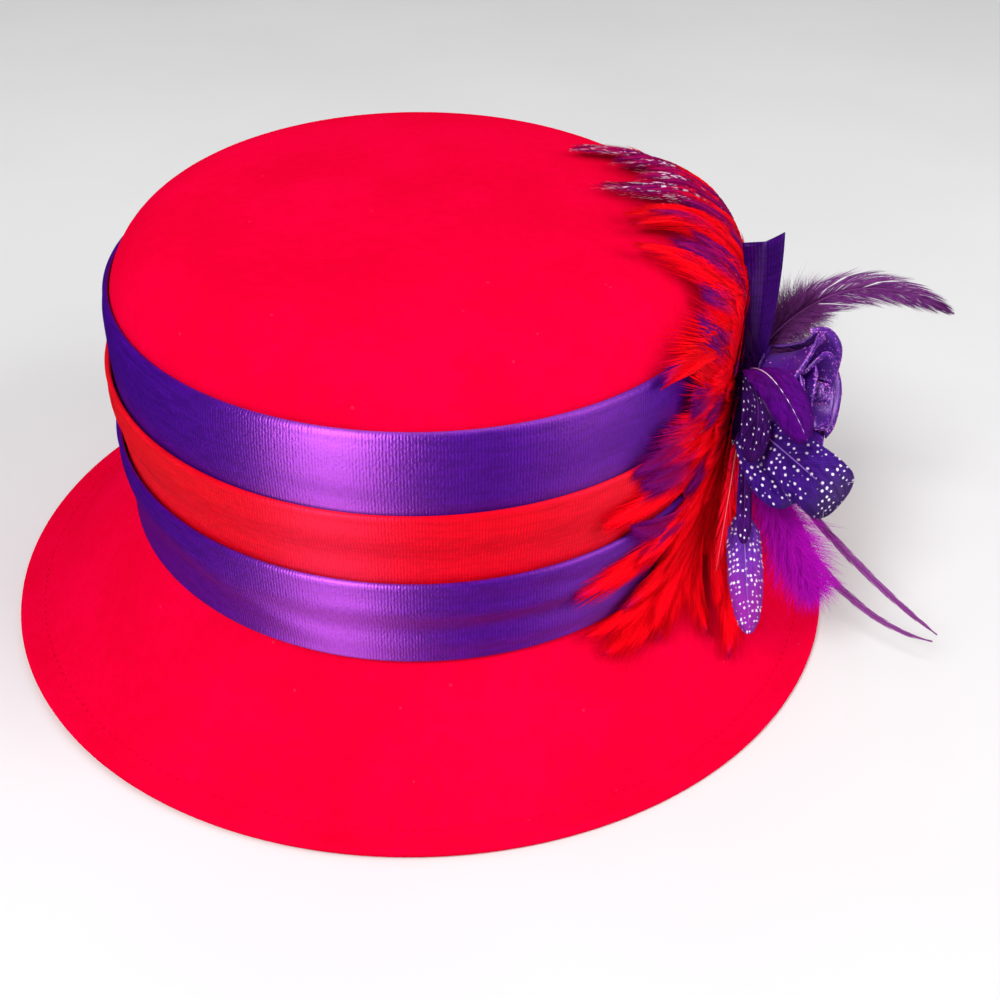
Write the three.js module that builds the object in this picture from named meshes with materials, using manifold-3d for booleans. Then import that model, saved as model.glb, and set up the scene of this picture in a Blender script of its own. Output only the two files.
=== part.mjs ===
// Felt cloche hat: a blocked felt body, a satin band laid in three folds, and on the +X side
// a draped feather pad that carries a satin rose, loose feathers, a ribbon tail and two quills.
// Millimetres, +Z up, front towards -Y. The shapes are worked out round the crown's axis with
// the brim on Z = 0, and the whole hat is then moved so that the origin is the middle of its base.
import * as THREE from "three";
import { mergeVertices } from "three/addons/utils/BufferGeometryUtils.js";
import Module from "manifold-3d";

const wasm = await Module();
wasm.setup();

const { degToRad, lerp, smoothstep } = THREE.MathUtils;

// Felt body
const FELT_WALL = 2.4;
const CROWN_HALF_WIDTH = 88.5;
const CROWN_DEPTH_RATIO = 1.08;
const CROWN_TOP_Z = 128;
const TOP_DOME = 2.5;
const SHOULDER_RADIUS = 22;
const CROWN_FILLET = 9;
const BRIM_HALF_WIDTH = 132;
const BRIM_HALF_DEPTH = 130;
const BRIM_SLOPE = degToRad(47);
const BRIM_KICK_RADIUS = 14;
const HEM_FLAT = 4;
const HEM_ROUND = 0.8;
const ROUND_STEPS = 48;

// Satin band: each fold laps over the lower edge of the fold above it
const SEAT_GAP = 0.35;
const BAND_CLOTH = 1.2;
const BAND_LAP_LIFT = 2;
const LAP_START = 0.35;
const LAP_END = 0.8;
const BAND_FOLDS = [
  { name: "band_upper", bottomZ: 84, topZ: 110, lapLift: 0, swell: 0.4, color: 0x4b0a8c },
  { name: "band_middle", bottomZ: 62.5, topZ: 88, lapLift: BAND_LAP_LIFT, swell: 0.4, color: 0xc40a2c },
  { name: "band_lower", bottomZ: 39.4, topZ: 66.8, lapLift: BAND_LAP_LIFT, swell: 0.5, color: 0x4b0a8c },
];

// Feather pad: angle 0 points to the front, 90 up over the crown, 270 down over the brim
const PAD_AZIMUTH = degToRad(-6);
const PAD_Z = 72;
const PAD_THICK = 2.6;
const PAD_EDGE_THICK = 1;
const PAD_BAND_LIFT = 4.6;
const PAD_FELT_LIFT = 2.8;
const PAD_SETTLE_RUN = 16;
const PAD_STRIPS = 24;
const PAD_NOTCH = 0.3;
const PAD_SHORT_TIP = 0.1;
const PAD_RING_STEPS = 7;
const STEPS_PER_STRIP = 4;
const PAD_REACH = [
  { angle: 0, reach: 97 },
  { angle: 45, reach: 74 },
  { angle: 90, reach: 74 },
  { angle: 135, reach: 95 },
  { angle: 180, reach: 76 },
  { angle: 225, reach: 62 },
  { angle: 270, reach: 62 },
  { angle: 315, reach: 90 },
  { angle: 340, reach: 106 },
  { angle: 360, reach: 97 },
];

// Ornament: sizes in its own frame, out from the crown, to the front and up
const ORNAMENT_AZIMUTH = degToRad(-14);
const ORNAMENT_Z = 76;
const ORNAMENT_LIFT = 7.7;
const BASE_RADIUS = 10.5;
const BASE_THICK = 5;
const ROOT_GAP = 0.8;
const VANE_THICK = 1.2;
const FEATHER_STEPS = 10;
const STEM_STEPS = 6;
const LOCK_STEPS = 3;
const QUILL_STEPS = 10;

const ROSE_TILT_UP = degToRad(12);
const ROSE_TILT_FRONT = degToRad(6);
const ROSE_TURN_FRONT = degToRad(20);
const ROSE_STAND_OFF = 4.2;
const ROSE_RAISE = 3;
const PETAL_CLOTH = 1.1;
const PETAL_SPIRAL = 3;
const PETAL_RIM_LEAN = degToRad(60);
const PETAL_FOOT_SPREAD = 0.75;
const PETAL_ARCH = 0.15;
const PETAL_ROLL = 0.12;
const ROSE_HEART_RADIUS = 4.7;
const ROSE_HEART_HEIGHT = 17;
const ROSE_RINGS = [
  { petals: 3, foot: 5.6, bloom: 4.2, height: 20.5, spread: 72, start: 20 },
  { petals: 5, foot: 9.6, bloom: 7, height: 19.5, spread: 44, start: 50 },
];

// Each feather runs from the base's rim to its tip, and its middle leaves the straight line by the bow
const FEATHERS = [
  {
    name: "hackle_plume", tip: { out: 57, front: -10, up: 27 }, bow: { out: -3, front: -8, up: 10 },
    layer: 3, rootTurn: 0, halfWidth: 6, widest: 0.5, face: { out: 0.2, front: 1, up: 0.5 },
    color: 0x8a2f8f,
  },
  {
    name: "hackle_leaf", tip: { out: 18, front: 33, up: 7 }, bow: { out: -2, front: 8, up: 11 },
    layer: 1.8, rootTurn: 58, halfWidth: 6, widest: 0.7, face: { out: 0, front: 0.5, up: 1 },
    color: 0x6a2a8a,
  },
  {
    name: "guinea_upper", tip: { out: 4, front: 33, up: -2 }, bow: { out: 2, front: 2, up: 5 },
    layer: 1, rootTurn: 60, halfWidth: 7.5, widest: 0.55, face: { out: 1, front: 0.5, up: 0.6 },
    color: 0x3c1240,
  },
  {
    name: "guinea_front", tip: { out: 17, front: 34, up: -14 }, bow: { out: 0, front: 2, up: 1 },
    layer: 1.6, rootTurn: 0, halfWidth: 8, widest: 0.65, face: { out: 0.6, front: 1, up: 0.5 },
    color: 0x4a1650,
  },
  {
    name: "guinea_low", tip: { out: 31, front: 28, up: -16 }, bow: { out: 2.5, front: 11.5, up: 5 },
    layer: 4.5, rootTurn: 10, halfWidth: 9, widest: 0.75, face: { out: 0.2, front: 1, up: 0.5 },
    color: 0x4a1650,
  },
  {
    name: "guinea_hanging", tip: { out: 10, front: 49, up: -50 }, bow: { out: 0, front: 6, up: 2 },
    layer: 0.8, rootTurn: 0, halfWidth: 6, widest: 0.75, face: { out: 0.6, front: 1, up: 0.5 },
    color: 0x4a1650,
  },
  {
    name: "guinea_small", tip: { out: 5, front: 40, up: -25 }, bow: { out: 0, front: 3, up: 1 },
    layer: 2.9, rootTurn: -3, halfWidth: 3, widest: 0.75, face: { out: 0.8, front: 1, up: 0.5 },
    color: 0x4a1650,
  },
  {
    name: "red_feather", tip: { out: -2, front: 50, up: -28 }, bow: { out: 0, front: 2, up: 3 },
    layer: 1, rootTurn: 0, halfWidth: 3.5, widest: 0.7, face: { out: 0.8, front: 1, up: 0.4 },
    color: 0xc40a1e,
  },
];

const MARABOU = {
  tip: { out: 29, front: 34, up: -45 }, bow: { out: 0, front: 3, up: -1 }, layer: 3.4, rootTurn: -8,
  halfWidth: 4.5, widest: 0.6, face: { out: 0.4, front: 1, up: 0.5 },
  locks: 4, firstLock: 0.3, lastLock: 0.8, lockReach: 13, lockHalfWidth: 3.4,
};

const QUILL_RADIUS = 0.9;
const QUILL_TIP_SHARE = 0.4;
const QUILL_SIDES = 6;
const QUILLS = [
  {
    name: "quill_upper", tip: { out: 66, front: 30, up: -58 }, bow: { out: 0, front: 0, up: -5 },
    layer: 3.8, rootTurn: -20,
  },
  {
    name: "quill_lower", tip: { out: 65, front: 31, up: -60 }, bow: { out: 0, front: 5, up: -12 },
    layer: 1.4, rootTurn: -15,
  },
];

const RIBBON_TAIL = {
  tip: { out: 1, front: 1, up: 50 }, bow: { out: 1, front: 0, up: 0 }, layer: 3, rootTurn: 0,
  footHalfWidth: 2.7, endHalfWidth: 4.6, fold: 2.2, slant: 2.2,
};

const FELT = { color: 0xd20a2a, roughness: 0.95, metalness: 0 };
const SATIN_ROUGHNESS = 0.35;
const SATIN_PURPLE = { color: 0x4b0a8c, roughness: SATIN_ROUGHNESS, metalness: 0 };
const PLAIN_BASE = { color: 0x2a0a30, roughness: 0.9, metalness: 0 };
const FEATHER_ROUGHNESS = 0.6;

// Makes a closed solid of a geometry whose shared vertices still have to be merged
function toSolid(geometry) {
  const bare = new THREE.BufferGeometry();
  bare.setAttribute("position", geometry.getAttribute("position"));
  bare.setIndex(geometry.getIndex());
  const merged = mergeVertices(bare, 1e-4);
  return new wasm.Manifold(new wasm.Mesh({
    numProp: 3,
    vertProperties: new Float32Array(merged.getAttribute("position").array),
    triVerts: new Uint32Array(merged.getIndex().array),
  }));
}

function toGeometry(solid) {
  const { numProp, vertProperties, triVerts } = solid.getMesh();
  const geometry = new THREE.BufferGeometry();
  geometry.setAttribute("position", new THREE.BufferAttribute(new Float32Array(vertProperties), numProp));
  geometry.setIndex(new THREE.BufferAttribute(new Uint32Array(triVerts), 1));
  geometry.computeVertexNormals();
  return geometry;
}

function makePart(name, solid, finish) {
  const mesh = new THREE.Mesh(toGeometry(solid), new THREE.MeshStandardMaterial(finish));
  mesh.name = name;
  return mesh;
}

function fuse(solids) {
  return solids.reduce((whole, piece) => whole.add(piece));
}

// Moves every vertex of a unit geometry to where place() puts it
function bend(geometry, place) {
  const position = geometry.getAttribute("position");
  const vertex = new THREE.Vector3();
  for (let index = 0; index < position.count; index += 1) {
    vertex.fromBufferAttribute(position, index);
    const { x, y, z } = place(vertex);
    position.setXYZ(index, x, y, z);
  }
  return geometry;
}

// The crown is longer from front to back than it is wide, and the brim's edge is nearly round
function depthRatio(radius) {
  const share = smoothstep(radius, CROWN_HALF_WIDTH, BRIM_HALF_WIDTH);
  return lerp(CROWN_DEPTH_RATIO, BRIM_HALF_DEPTH / BRIM_HALF_WIDTH, share);
}

// Revolves a profile of radius and height round Z and makes it oval
function revolve(profile) {
  const lathe = new THREE.LatheGeometry(profile, ROUND_STEPS).rotateX(Math.PI / 2);
  return toSolid(bend(lathe, (vertex) => {
    const radius = Math.hypot(vertex.x, vertex.y);
    return vertex.setY(vertex.y * depthRatio(radius));
  }));
}

// Outer meridian of the felt, from the middle of the top down to the brim's edge
const SHOULDER_CENTRE = new THREE.Vector2(
  CROWN_HALF_WIDTH - SHOULDER_RADIUS,
  CROWN_TOP_Z - TOP_DOME - SHOULDER_RADIUS,
);
const FILLET_TURN = Math.PI / 2 - BRIM_SLOPE;
const KICK_CENTRE = new THREE.Vector2(BRIM_HALF_WIDTH - HEM_FLAT, FELT_WALL + BRIM_KICK_RADIUS);
const KICK_START = new THREE.Vector2(
  KICK_CENTRE.x - BRIM_KICK_RADIUS * Math.sin(BRIM_SLOPE),
  KICK_CENTRE.y - BRIM_KICK_RADIUS * Math.cos(BRIM_SLOPE),
);
const FILLET_RUN = CROWN_FILLET * (1 - Math.cos(FILLET_TURN));
const FILLET_DROP = CROWN_FILLET * Math.sin(FILLET_TURN);
const SLOPE_RUN = KICK_START.x - CROWN_HALF_WIDTH - FILLET_RUN;
const CROWN_FOOT_Z = KICK_START.y + SLOPE_RUN * Math.tan(BRIM_SLOPE) + FILLET_DROP;

function feltMeridian() {
  const path = new THREE.Path();
  path.moveTo(0, CROWN_TOP_Z);
  path.quadraticCurveTo(SHOULDER_CENTRE.x / 2, CROWN_TOP_Z, SHOULDER_CENTRE.x, CROWN_TOP_Z - TOP_DOME);
  path.absarc(SHOULDER_CENTRE.x, SHOULDER_CENTRE.y, SHOULDER_RADIUS, Math.PI / 2, 0, true);
  path.lineTo(CROWN_HALF_WIDTH, CROWN_FOOT_Z);
  path.absarc(
    CROWN_HALF_WIDTH + CROWN_FILLET, CROWN_FOOT_Z, CROWN_FILLET, Math.PI, Math.PI + FILLET_TURN, false,
  );
  path.lineTo(KICK_START.x, KICK_START.y);
  const straightDown = 1.5 * Math.PI;
  path.absarc(
    KICK_CENTRE.x, KICK_CENTRE.y, BRIM_KICK_RADIUS, straightDown - BRIM_SLOPE, straightDown, false,
  );
  path.lineTo(BRIM_HALF_WIDTH - HEM_ROUND, FELT_WALL);
  return path;
}

const MERIDIAN = feltMeridian();
const MERIDIAN_LENGTH = MERIDIAN.getLength();
const LINE_STEPS = 1;
const CURVE_STEPS = { QuadraticBezierCurve: 3, EllipseCurve: 4 };

function makeFeltBody() {
  const outer = [new THREE.Vector2(0, CROWN_TOP_Z)];
  for (const curve of MERIDIAN.curves) {
    const steps = CURVE_STEPS[curve.type] ?? LINE_STEPS;
    outer.push(...curve.getPoints(steps).slice(1));
  }
  const inner = outer.map((point, index) => {
    const before = outer[Math.max(index - 1, 0)];
    const after = outer[Math.min(index + 1, outer.length - 1)];
    const along = after.clone().sub(before).normalize();
    const inward = new THREE.Vector2(along.y, -along.x);
    return point.clone().addScaledVector(inward, index === 0 ? 0 : FELT_WALL);
  });
  inner[0].y -= FELT_WALL;
  const edge = new THREE.Vector2(BRIM_HALF_WIDTH, FELT_WALL / 2);
  return makePart("felt_body", revolve([...inner, edge, ...outer.reverse()]), FELT);
}

// Radius of the felt's outside at a height on the crown
function crownRadius(z) {
  if (z > SHOULDER_CENTRE.y) {
    return SHOULDER_CENTRE.x + Math.sqrt(SHOULDER_RADIUS ** 2 - (z - SHOULDER_CENTRE.y) ** 2);
  }
  const below = Math.max(CROWN_FOOT_Z - z, 0);
  return CROWN_HALF_WIDTH + CROWN_FILLET - Math.sqrt(CROWN_FILLET ** 2 - below ** 2);
}

// A fold of the band: it stands off at its upper edge where it laps over its neighbour
function makeBandFold(fold) {
  const pointAt = (share, depth) => {
    const z = lerp(fold.bottomZ, fold.topZ, share);
    const lap = fold.lapLift * smoothstep(share, LAP_START, LAP_END);
    const swell = fold.swell * Math.sin(Math.PI * share);
    const offset = SEAT_GAP + lap + depth * (BAND_CLOTH + swell);
    return new THREE.Vector2(crownRadius(z) + offset, z);
  };
  const insideShares = [0.97, 0.75, 0.4, 0.03];
  const outsideShares = [0.03, 0.3, 0.6, 0.97];
  const profile = [
    pointAt(1, 0.5),
    ...insideShares.map((share) => pointAt(share, 0)),
    pointAt(0, 0.5),
    ...outsideShares.map((share) => pointAt(share, 1)),
    pointAt(1, 0.5),
  ];
  const finish = { color: fold.color, roughness: SATIN_ROUGHNESS, metalness: 0 };
  return makePart(fold.name, revolve(profile), finish);
}

// Point on the hat at an azimuth and a distance up the meridian from the pad's middle, with its normal
const PAD_MERIDIAN = MERIDIAN_LENGTH - meridianBelow(PAD_Z);

function meridianBelow(z) {
  const slopeLength = SLOPE_RUN / Math.cos(BRIM_SLOPE);
  const kickLength = BRIM_KICK_RADIUS * BRIM_SLOPE;
  const filletLength = CROWN_FILLET * FILLET_TURN;
  return HEM_FLAT - HEM_ROUND + kickLength + slopeLength + filletLength + z - CROWN_FOOT_Z;
}

function hatSurface(azimuth, climb, lift) {
  const share = THREE.MathUtils.clamp((PAD_MERIDIAN - climb) / MERIDIAN_LENGTH, 0, 1);
  const foot = MERIDIAN.getPointAt(share);
  const along = MERIDIAN.getTangentAt(share);
  const radius = foot.x - along.y * lift;
  const height = foot.y + along.x * lift;
  const ratio = depthRatio(foot.x);
  const point = new THREE.Vector3(radius * Math.cos(azimuth), radius * Math.sin(azimuth) * ratio, height);
  const normal = new THREE.Vector3(
    -along.y * Math.cos(azimuth) * ratio, -along.y * Math.sin(azimuth), along.x,
  ).normalize();
  return { point, face: normal };
}

// Height of the pad over the felt: it clears the band and settles on the bare felt past it
function padLift(climb) {
  const bandAbove = BAND_FOLDS.at(0).topZ - PAD_Z;
  const bandBelow = PAD_Z - BAND_FOLDS.at(-1).bottomZ;
  const overTop = smoothstep(climb, bandAbove, bandAbove + PAD_SETTLE_RUN);
  const underFoot = smoothstep(-climb, bandBelow, bandBelow + PAD_SETTLE_RUN);
  return lerp(PAD_BAND_LIFT, PAD_FELT_LIFT, Math.max(overTop, underFoot));
}

function padSurface(angle, distance, rise) {
  const azimuth = PAD_AZIMUTH - distance * Math.cos(angle) / (CROWN_HALF_WIDTH * CROWN_DEPTH_RATIO);
  const climb = distance * Math.sin(angle);
  return hatSurface(azimuth, climb, padLift(climb) + rise);
}

function padReach(angle) {
  const degrees = THREE.MathUtils.radToDeg(angle) % 360;
  const after = PAD_REACH.findIndex((row) => row.angle > degrees);
  const [low, high] = [PAD_REACH[after - 1], PAD_REACH[after]];
  return lerp(low.reach, high.reach, smoothstep(degrees, low.angle, high.angle));
}

// A thin vane lofted along a spine: outline(t) gives its half width and half thickness
function loftVane(spine, outline, steps, sides = 4) {
  const nudge = 1e-3;
  return bend(new THREE.CylinderGeometry(1, 1, 1, sides, steps), (vertex) => {
    const share = vertex.y + 0.5;
    const { point, face } = spine(share);
    const tangent = spine(Math.min(share + nudge, 1)).point.sub(spine(Math.max(share - nudge, 0)).point);
    tangent.normalize();
    const side = new THREE.Vector3().crossVectors(tangent, face).normalize();
    const up = new THREE.Vector3().crossVectors(side, tangent);
    const { half, thick } = outline(share);
    return point.clone().addScaledVector(side, vertex.x * half).addScaledVector(up, vertex.z * thick);
  });
}

// Leaf outline: narrow at the root, widest part of the way along, round at the tip
function leafOutline(halfWidth, widest, thick) {
  const rootShare = 0.12;
  const tipShare = 0.08;
  return (share) => {
    const rising = rootShare + (1 - rootShare) * Math.sin(Math.PI / 2 * Math.min(share / widest, 1));
    const past = Math.max(share - widest, 0) / (1 - widest);
    const falling = tipShare + (1 - tipShare) * Math.sqrt(Math.max(1 - past ** 2, 0));
    return { half: halfWidth * rising * falling, thick: thick / 2 * lerp(1, 0.5, share) };
  };
}

// Cuts the quads of a lathe's later profile segments along their other diagonal
function turnDiagonals(lathe, segments, firstSegment) {
  const perQuad = 6;
  const index = lathe.getIndex();
  for (let start = 0; start < index.count; start += perQuad) {
    if ((start / perQuad) % segments >= firstSegment) {
      const [near, along, across, far] = [0, 1, 2, 3].map((corner) => index.getX(start + corner));
      [near, along, far, near, far, across].forEach((vertex, place) => index.setX(start + place, vertex));
    }
  }
  return lathe;
}

// The pad is one backing whose edge parts into strips, with every second tip a little shorter.
// Its underside takes the same diagonals as its upper side, so the thin sheet can't cut itself.
function makeFeatherPad() {
  const upper = [];
  for (let step = 0; step < PAD_RING_STEPS; step += 1) {
    upper.push(new THREE.Vector2(step / PAD_RING_STEPS, 1));
  }
  const lower = upper.map((point) => new THREE.Vector2(point.x, 0)).reverse();
  const profile = [...upper, new THREE.Vector2(1, 0.5), ...lower];
  const disc = new THREE.LatheGeometry(profile, PAD_STRIPS * STEPS_PER_STRIP);
  const unit = turnDiagonals(disc, profile.length - 1, PAD_RING_STEPS);
  const solid = toSolid(bend(unit, (vertex) => {
    const turn = Math.atan2(vertex.x, vertex.z);
    const angle = turn < 0 ? turn + 2 * Math.PI : turn;
    const share = Math.hypot(vertex.x, vertex.z);
    const notch = PAD_NOTCH * Math.abs(Math.sin(angle * PAD_STRIPS / 2)) ** 1.5;
    const shorter = PAD_SHORT_TIP * (1 - Math.cos(angle * PAD_STRIPS / 2)) / 2;
    const distance = share * padReach(angle) * (1 - notch - shorter);
    const rise = vertex.y * lerp(PAD_THICK, PAD_EDGE_THICK, share);
    return padSurface(angle, distance, rise).point;
  }));
  return makePart("feather_pad", solid, { color: 0xc8101e, roughness: FEATHER_ROUGHNESS, metalness: 0 });
}

// The ornament's frame has X out from the crown, Y to the back and Z up
function ornamentVector({ out, front, up }) {
  return new THREE.Vector3(out, -front, up);
}

// A spine from the base's rim, in the direction of the tip, through the bowed middle to the tip
function ornamentSpine({ tip, bow, layer, rootTurn, face }) {
  const end = ornamentVector(tip);
  const rim = BASE_RADIUS + ROOT_GAP;
  const heading = Math.atan2(tip.up, tip.front) + degToRad(rootTurn);
  const root = new THREE.Vector3(layer, -rim * Math.cos(heading), rim * Math.sin(heading));
  const control = root.clone().add(end).multiplyScalar(0.5).addScaledVector(ornamentVector(bow), 2);
  const curve = new THREE.QuadraticBezierCurve3(root, control, end);
  const look = ornamentVector(face);
  return (share) => ({ point: curve.getPoint(share), face: look });
}

function makeFeather(row) {
  const outline = leafOutline(row.halfWidth, row.widest, VANE_THICK);
  const solid = toSolid(loftVane(ornamentSpine(row), outline, FEATHER_STEPS));
  return makePart(row.name, solid, { color: row.color, roughness: FEATHER_ROUGHNESS, metalness: 0 });
}

// Marabou: a short stem with fluffy locks fused to both of its sides, longest in the middle
function makeMarabou() {
  const spine = ornamentSpine(MARABOU);
  const { halfWidth, widest, locks, firstLock, lastLock, lockReach, lockHalfWidth } = MARABOU;
  const solids = [toSolid(loftVane(spine, leafOutline(halfWidth, widest, VANE_THICK), STEM_STEPS))];
  for (let index = 0; index < locks; index += 1) {
    for (const hand of [-1, 1]) {
      const from = lerp(firstLock, lastLock, index / (locks - 1));
      const { point, face } = spine(from);
      const tangent = spine(from + 0.05).point.sub(point).normalize();
      const side = new THREE.Vector3().crossVectors(tangent, face).normalize().multiplyScalar(hand);
      const swell = Math.sin(Math.PI * lerp(0.35, 0.8, from));
      const end = point.clone().addScaledVector(tangent, lockReach * 0.6);
      end.addScaledVector(side, lockReach * swell);
      const lock = (share) => ({ point: point.clone().lerp(end, share), face });
      solids.push(toSolid(loftVane(lock, leafOutline(lockHalfWidth, widest, VANE_THICK), LOCK_STEPS)));
    }
  }
  return makePart("marabou_plume", fuse(solids), { color: 0x6a10b4, roughness: 0.8, metalness: 0 });
}

function makeQuill(row) {
  const spine = ornamentSpine({ ...row, face: { out: 0, front: 1, up: 0.5 } });
  const outline = (share) => {
    const radius = QUILL_RADIUS * lerp(1, QUILL_TIP_SHARE, share);
    return { half: radius, thick: radius };
  };
  const solid = toSolid(loftVane(spine, outline, QUILL_STEPS, QUILL_SIDES));
  return makePart(row.name, solid, { color: 0x3a1038, roughness: 0.4, metalness: 0 });
}

// Ribbon tail: a strip folded lengthwise, widening to an end that is cut on a slant
function makeRibbonTail() {
  const spine = ornamentSpine({ ...RIBBON_TAIL, face: { out: -0.3, front: 1, up: 0 } });
  const foot = spine(0).point;
  const unit = new THREE.BoxGeometry(2, 1, 1, 2, 5, 1);
  const solid = toSolid(bend(unit, (vertex) => {
    const share = vertex.y + 0.5;
    const { point } = spine(share);
    const half = lerp(RIBBON_TAIL.footHalfWidth, RIBBON_TAIL.endHalfWidth, share);
    const fold = RIBBON_TAIL.fold * (1 - Math.abs(vertex.x)) * share;
    point.x += vertex.x * half;
    point.y += -vertex.z * VANE_THICK - fold;
    point.z += vertex.x * RIBBON_TAIL.slant * share;
    point.z = Math.max(point.z, foot.z);
    return point;
  }));
  return makePart("ribbon_tail", solid, SATIN_PURPLE);
}

// A cupped petal round the rose's axis: its leading side lies outside the next petal's trailing side
function makePetal(name, ring, turn) {
  const unit = new THREE.BoxGeometry(2, 1, 1, 5, 4, 1);
  const solid = toSolid(bend(unit, (vertex) => {
    const across = vertex.x;
    const share = vertex.y + 0.5;
    const angle = turn + across * degToRad(ring.spread) * lerp(PETAL_FOOT_SPREAD, 1, share);
    const lean = PETAL_RIM_LEAN * share ** 2;
    const depth = vertex.z * PETAL_CLOTH + PETAL_SPIRAL * (across + 1) / 2;
    const radius = ring.foot + ring.bloom * share ** 1.8;
    const arch = 1 - PETAL_ARCH * across ** 2 * share ** 2;
    const roll = 1 - PETAL_ROLL * share ** 4;
    const height = ring.height * share * arch * roll;
    const reach = radius + depth * Math.cos(lean);
    return new THREE.Vector3(
      reach * Math.cos(angle), reach * Math.sin(angle), height - depth * Math.sin(lean),
    );
  }));
  return makePart(name, solid, SATIN_PURPLE);
}

function makeRose() {
  const rose = new THREE.Group();
  const heartProfile = [
    new THREE.Vector2(0, 0),
    new THREE.Vector2(ROSE_HEART_RADIUS * 0.95, 0),
    new THREE.Vector2(ROSE_HEART_RADIUS, ROSE_HEART_HEIGHT * 0.55),
    new THREE.Vector2(ROSE_HEART_RADIUS * 0.7, ROSE_HEART_HEIGHT),
    new THREE.Vector2(0, ROSE_HEART_HEIGHT * 0.92),
  ];
  const heart = new THREE.LatheGeometry(heartProfile, 12).rotateX(Math.PI / 2);
  rose.add(makePart("rose_heart", toSolid(heart), SATIN_PURPLE));
  let number = 0;
  for (const ring of ROSE_RINGS) {
    for (let index = 0; index < ring.petals; index += 1) {
      number += 1;
      const turn = degToRad(ring.start) + 2 * Math.PI * index / ring.petals;
      rose.add(makePetal(`rose_petal_${number}`, ring, turn));
    }
  }
  rose.rotation.set(ROSE_TILT_FRONT, Math.PI / 2 - ROSE_TILT_UP, -ROSE_TURN_FRONT, "ZXY");
  rose.position.set(BASE_THICK + ROSE_STAND_OFF, 0, ROSE_RAISE);
  return rose;
}

function makeOrnament() {
  const ornament = new THREE.Group();
  const base = new THREE.CylinderGeometry(BASE_RADIUS, BASE_RADIUS, BASE_THICK, 24);
  base.rotateZ(Math.PI / 2).translate(BASE_THICK / 2, 0, 0);
  ornament.add(makePart("ornament_base", toSolid(base), PLAIN_BASE));
  ornament.add(makeRose());
  ornament.add(makeRibbonTail());
  ornament.add(makeMarabou());
  FEATHERS.forEach((row) => ornament.add(makeFeather(row)));
  QUILLS.forEach((row) => ornament.add(makeQuill(row)));
  const seat = hatSurface(ORNAMENT_AZIMUTH, ORNAMENT_Z - PAD_Z, ORNAMENT_LIFT);
  ornament.position.copy(seat.point);
  ornament.rotation.z = Math.atan2(seat.face.y, seat.face.x);
  return ornament;
}

const hat = new THREE.Group();
hat.add(makeFeltBody());
BAND_FOLDS.forEach((fold) => hat.add(makeBandFold(fold)));
hat.add(makeFeatherPad());
hat.add(makeOrnament());

const precise = true;
const box = new THREE.Box3().setFromObject(hat, precise);
const middle = box.getCenter(new THREE.Vector3());
hat.position.set(-middle.x, -middle.y, -box.min.z);

export default hat;
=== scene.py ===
"""Dresses the cloche hat: felt body, satin folds, feather pad, rose, loose feathers and quills."""

from __future__ import annotations

import logging
import math
from collections.abc import Callable, Sequence
from dataclasses import dataclass, field
from enum import Enum
from functools import cached_property

import bmesh
import bpy
import numpy as np
from mathutils import Matrix, Vector

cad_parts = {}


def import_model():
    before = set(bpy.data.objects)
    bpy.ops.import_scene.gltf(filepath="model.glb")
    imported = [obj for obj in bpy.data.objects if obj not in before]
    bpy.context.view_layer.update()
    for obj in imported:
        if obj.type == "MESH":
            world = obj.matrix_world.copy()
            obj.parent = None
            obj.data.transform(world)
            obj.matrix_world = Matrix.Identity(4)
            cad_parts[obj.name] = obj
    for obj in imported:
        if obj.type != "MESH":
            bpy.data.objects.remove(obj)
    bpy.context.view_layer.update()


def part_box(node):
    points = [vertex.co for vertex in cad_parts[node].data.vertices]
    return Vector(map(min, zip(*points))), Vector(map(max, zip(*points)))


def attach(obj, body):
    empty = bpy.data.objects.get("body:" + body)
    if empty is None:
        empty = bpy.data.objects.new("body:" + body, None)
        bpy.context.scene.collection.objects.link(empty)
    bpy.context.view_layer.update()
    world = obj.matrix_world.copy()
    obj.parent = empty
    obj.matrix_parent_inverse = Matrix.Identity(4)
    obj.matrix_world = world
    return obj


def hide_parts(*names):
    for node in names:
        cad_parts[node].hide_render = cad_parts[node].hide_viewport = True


Material = bpy.types.Material
Socket = bpy.types.NodeSocket
Triple = tuple[float, float, float]
Sizes = dict[str, float | int]
NodeValue = "Signal | Socket | float | int | str | bool | Sequence[float]"

LOG = logging.getLogger("cloche_hat")
MM = 0.001
BODY = "root"


def smoothstep(value: np.ndarray, low: float, high: float) -> np.ndarray:
    """Eases from 0 at low to 1 at high.

    Args:
        value: Numbers to ease.
        low: Where the result leaves 0.
        high: Where the result reaches 1.

    Returns:
        The eased numbers.
    """
    share = np.clip((np.asarray(value, float) - low) / (high - low), 0.0, 1.0)
    return share * share * (3.0 - 2.0 * share)


def lerp(start: float, end: float, share: np.ndarray) -> np.ndarray:
    """Goes from start to end as share goes from 0 to 1."""
    return start + (end - start) * np.asarray(share, float)


def run_along(points: np.ndarray) -> np.ndarray:
    """Gives the distance along a line of points, from 0 at the first one."""
    return np.concatenate([[0], np.cumsum(np.linalg.norm(np.diff(points, axis=0), axis=1))])


def round_angles(count: int) -> np.ndarray:
    """Gives angles that are evenly spaced round a circle."""
    return np.linspace(0, 2 * np.pi, count, endpoint=False)


def polar(radius: np.ndarray, angle: np.ndarray, height: np.ndarray) -> np.ndarray:
    """Gives points from their radius and angle round Z and their height."""
    return np.stack([radius * np.cos(angle), radius * np.sin(angle), height], axis=-1)


def lattice(across: np.ndarray, down: np.ndarray) -> np.ndarray:
    """Gives pairs of numbers, of which the first changes along a row and the second from row to row."""
    return np.stack(np.meshgrid(across, down, indexing="xy"), axis=-1)


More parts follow.
